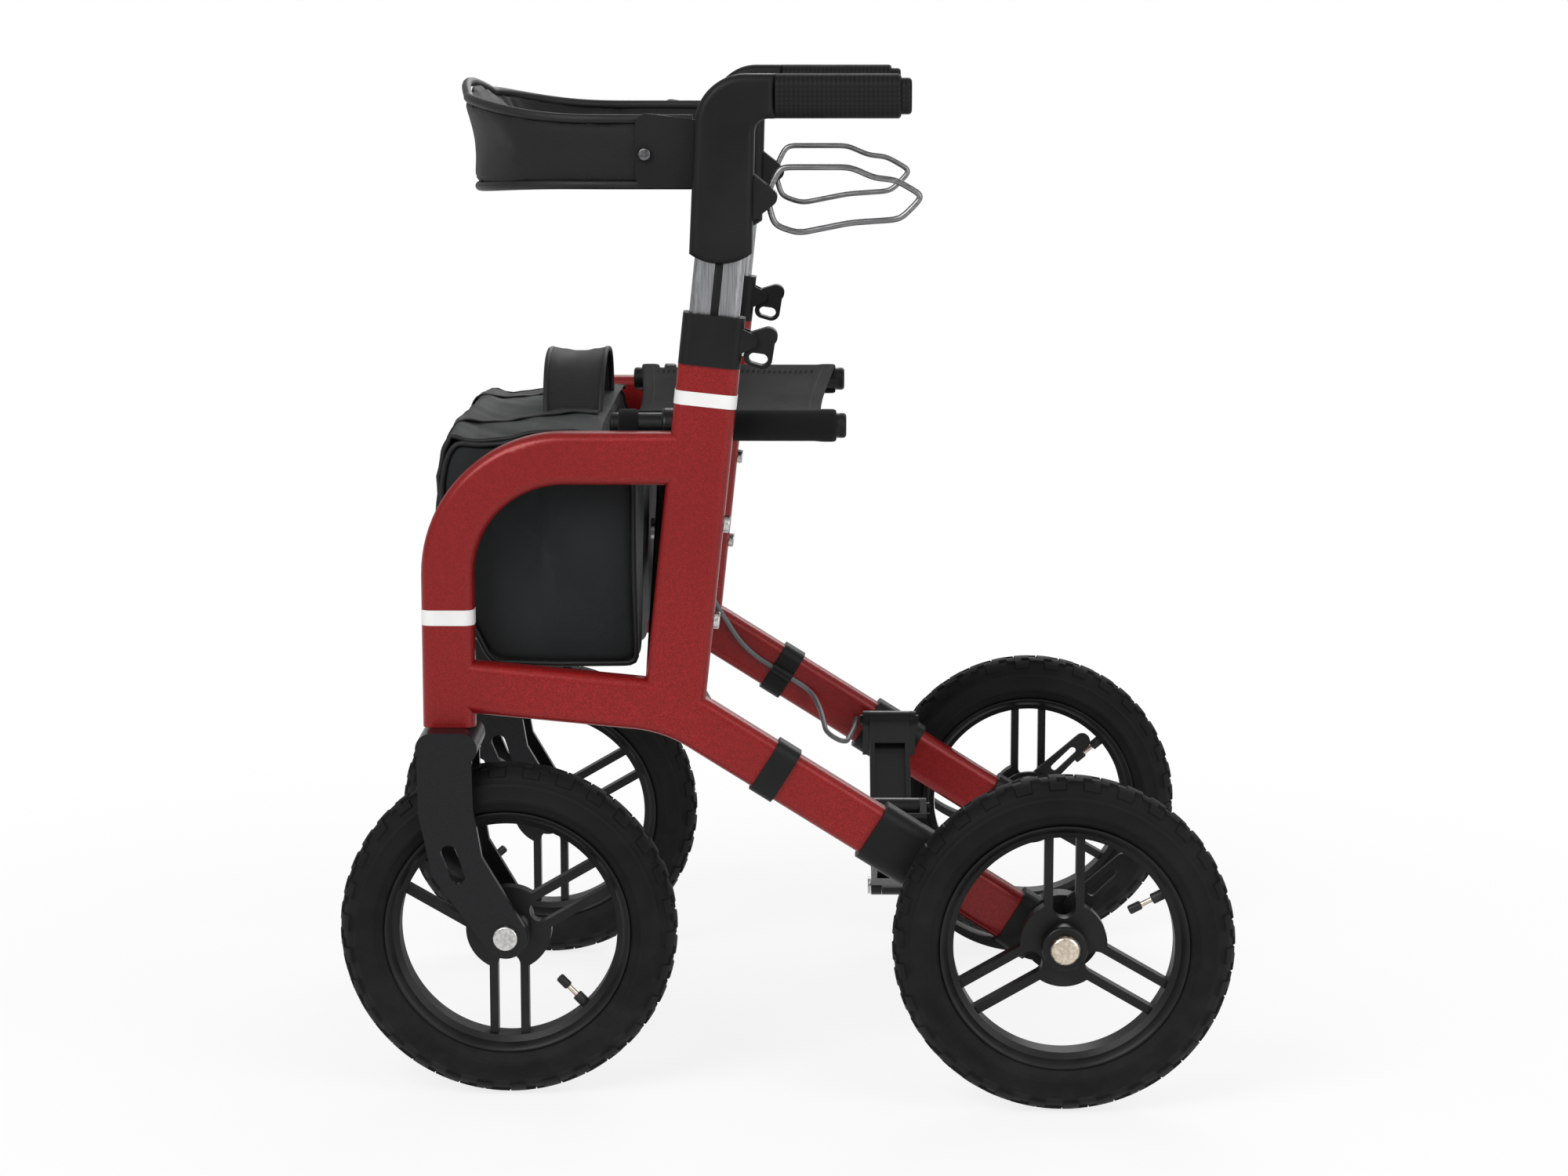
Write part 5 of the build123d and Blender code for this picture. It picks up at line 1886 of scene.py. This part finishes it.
@dataclass(frozen=True)
class Stripes:
    """Reflective bands stuck round the column and the front post."""

    stand: float = 0.0004
    column_size: tuple[float, float] = (0.054, 0.028)
    column_at: tuple[float, float] = (0.0682, 0.622)
    column_tall: float = 0.012
    column_lean_deg: float = 6.05
    post_size: tuple[float, float] = (0.046, 0.028)
    post_at: tuple[float, float] = (0.2945, 0.4305)
    post_tall: float = 0.0135
    corner: float = 0.009
    frame_y: float = 0.24

    def band(self, name: str, size: tuple[float, float], at: tuple[float, float], tall: float, lean_deg: float, side: Side) -> None:
        """Models one band.

        Args:
            name: The piece's name.
            size: The tube's width along X and along Y.
            at: The tube's centre, X and Z.
            tall: The band's height.
            lean_deg: How far the tube leans back.
            side: Which side frame.
        """
        clear_selection()
        wide, thick = (value + 2 * self.stand for value in size)
        bpy.ops.mesh.primitive_cube_add(size=1, scale=(wide, thick, tall))
        band = settle(named(f"{name}_{side.word}"))
        open_edit(band, "EDGE")
        pick_edges(band, lambda a, b: abs(a.z - b.z) > tall / 2)
        bpy.ops.mesh.bevel(offset=self.corner + self.stand, segments=8, affect="EDGES")
        bpy.ops.mesh.select_mode(type="FACE")
        pick_faces(band, lambda centre, normal: abs(normal.z) > 0.9)
        bpy.ops.mesh.delete(type="FACE")
        close_edit()
        outward(band)
        modify(band, "SOLIDIFY", thickness=0.0008, offset=-1, use_rim=True)
        take(band)
        band.rotation_euler = (0, -math.radians(lean_deg), 0)
        band.location = (at[0], side.value * self.frame_y, at[1])
        settle(band)
        STRIPE.dress(band)
        smooth(band, 30)
        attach(band, f"{side.word}_frame")

    def build(self) -> None:
        """Models all four bands."""
        for side in Side:
            self.band("column_stripe", self.column_size, self.column_at, self.column_tall, self.column_lean_deg, side)
            self.band("post_stripe", self.post_size, self.post_at, self.post_tall, 0.0, side)
        log.info("stripes built")


@dataclass(frozen=True)
class SocketScrew:
    """Round-headed screw with a six-sided socket, its axis along Y."""

    head_r: float = 0.0052
    head_t: float = 0.0026
    socket_r: float = 0.0027

    def build(self, name: str, at: Point, facing: int, body: str) -> None:
        """Models one screw.

        Args:
            name: The piece's name.
            at: The centre of its seat.
            facing: 1 when it looks toward +Y, -1 toward -Y.
            body: The body that carries it.
        """
        x, y, z = at
        head = rod(name, self.head_r, ((x, y - facing * 0.0006, z), (x, y + facing * self.head_t, z)), 32, 0.0008)
        tool = rod(
            name + "_tool", self.socket_r, ((x, y + facing * self.head_t * 0.35, z), (x, y + facing * self.head_t * 3, z)), 6
        )
        modify(head, "BOOLEAN", operation="DIFFERENCE", object=tool, solver="EXACT")
        bpy.data.objects.remove(tool)
        STEEL_DARK.dress(head)
        smooth(head, 30)
        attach(head, body)


@dataclass(frozen=True)
class BrakeLever:
    """Brake lever bent from one wire into a long soft loop on a turned hub."""

    route: tuple[tuple[float, float], ...] = (
        (0.0145, 0.794),
        (0.009, 0.772),
        (-0.012, 0.765),
        (-0.057, 0.774),
        (-0.1, 0.777),
        (-0.1195, 0.797),
        (-0.095, 0.811),
        (-0.078, 0.812),
        (-0.057, 0.8215),
        (0.004, 0.8215),
        (0.0145, 0.799),
    )
    wire_r: float = 0.00275
    hub_at: tuple[float, float] = (0.014, 0.796)
    hub_r: float = 0.008
    hub_w: float = 0.014
    frame_y: float = 0.24

    def build(self, side: Side) -> None:
        """Models one side's lever."""
        y = side.value * self.frame_y
        line = [Vector((point.x, y, point.y)) for point in trace(list(self.route), 150, 12, False)]
        wire = tube(f"brake_wire_{side.word}", line, self.wire_r)
        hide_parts(f"brake_lever_{side.word}")
        x, z = self.hub_at
        ends = ((x, y - self.hub_w / 2, z), (x, y + self.hub_w / 2, z))
        hub = rod(f"brake_lever_hub_{side.word}", self.hub_r, ends, 40, 0.0008)
        for piece in (wire, hub):
            WIRE.dress(piece)
            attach(piece, f"brake_lever_{side.word}")


@dataclass(frozen=True)
class SmallHardware:
    """Brake levers, bracket screws and the mast's inlay."""

    frame_y: float = 0.24
    lean_deg: float = 6.05
    bracket_screw: Point = (0.12, 0.2432, 0.8325)

    def mast_inlay(self, side: Side) -> None:
        """Models the dark scale let into the outer face of one mast."""
        lean = math.radians(self.lean_deg)
        low, high, z_ref, x_ref = 0.668, 0.742, 0.6275, 0.0676
        middle = (low + high) / 2
        inlay = block(
            f"mast_scale_{side.word}",
            (0.0072, 0.0008, (high - low) / math.cos(lean)),
            (x_ref - (middle - z_ref) * math.tan(lean), side.value * (self.frame_y + 0.009 - 0.00015), middle),
            0.00025,
            (0, -lean, 0),
        )
        PLASTIC.dress(inlay)
        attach(inlay, f"handle_{side.word}")

    def build(self) -> None:
        """Models all small hardware."""
        for side in Side:
            self.mast_inlay(side)
            BrakeLever().build(side)
            x, y, z = self.bracket_screw
            SocketScrew().build(f"bracket_screw_{side.word}", (x, side.value * y, z), side.value, f"handle_{side.word}")
        log.info("small hardware built")


WHEEL_R = 0.15
AXLE_X = 0.2445
FRAME_Y = 0.24
REAR_Y = 0.288
FRONT_VALVE_DEG = {Side.LEFT: 226.0, Side.RIGHT: 318.0}
REAR_VALVE_DEG = {Side.LEFT: 153.0, Side.RIGHT: 140.0}


def main() -> None:
    """Builds every class in order."""
    logging.basicConfig(level=logging.INFO, format="%(message)s")
    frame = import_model()
    clear_selection()
    EffectGroups().build()
    Studio().build()
    CarriedNodes().build(frame["nodes"])
    SeatSling().build()
    BackrestBand().build()
    Bag().build()
    wheels = [
        Wheel(
            f"{end}_{side.word}",
            f"{end}_tyre_{side.word}",
            f"{end}_wheel_{side.word}",
            (x, side.value * y, WHEEL_R),
            turn,
        )
        for side in Side
        for end, x, y, turn in (("front", AXLE_X, FRAME_Y, FRONT_VALVE_DEG[side]), ("rear", -AXLE_X, REAR_Y, REAR_VALVE_DEG[side]))
    ]
    Tyre().build(wheels)
    RimLip().build(wheels)
    for wheel in wheels:
        Valve().build(wheel)
    Stripes().build()
    SmallHardware().build()


if __name__ == "__main__":
    main()
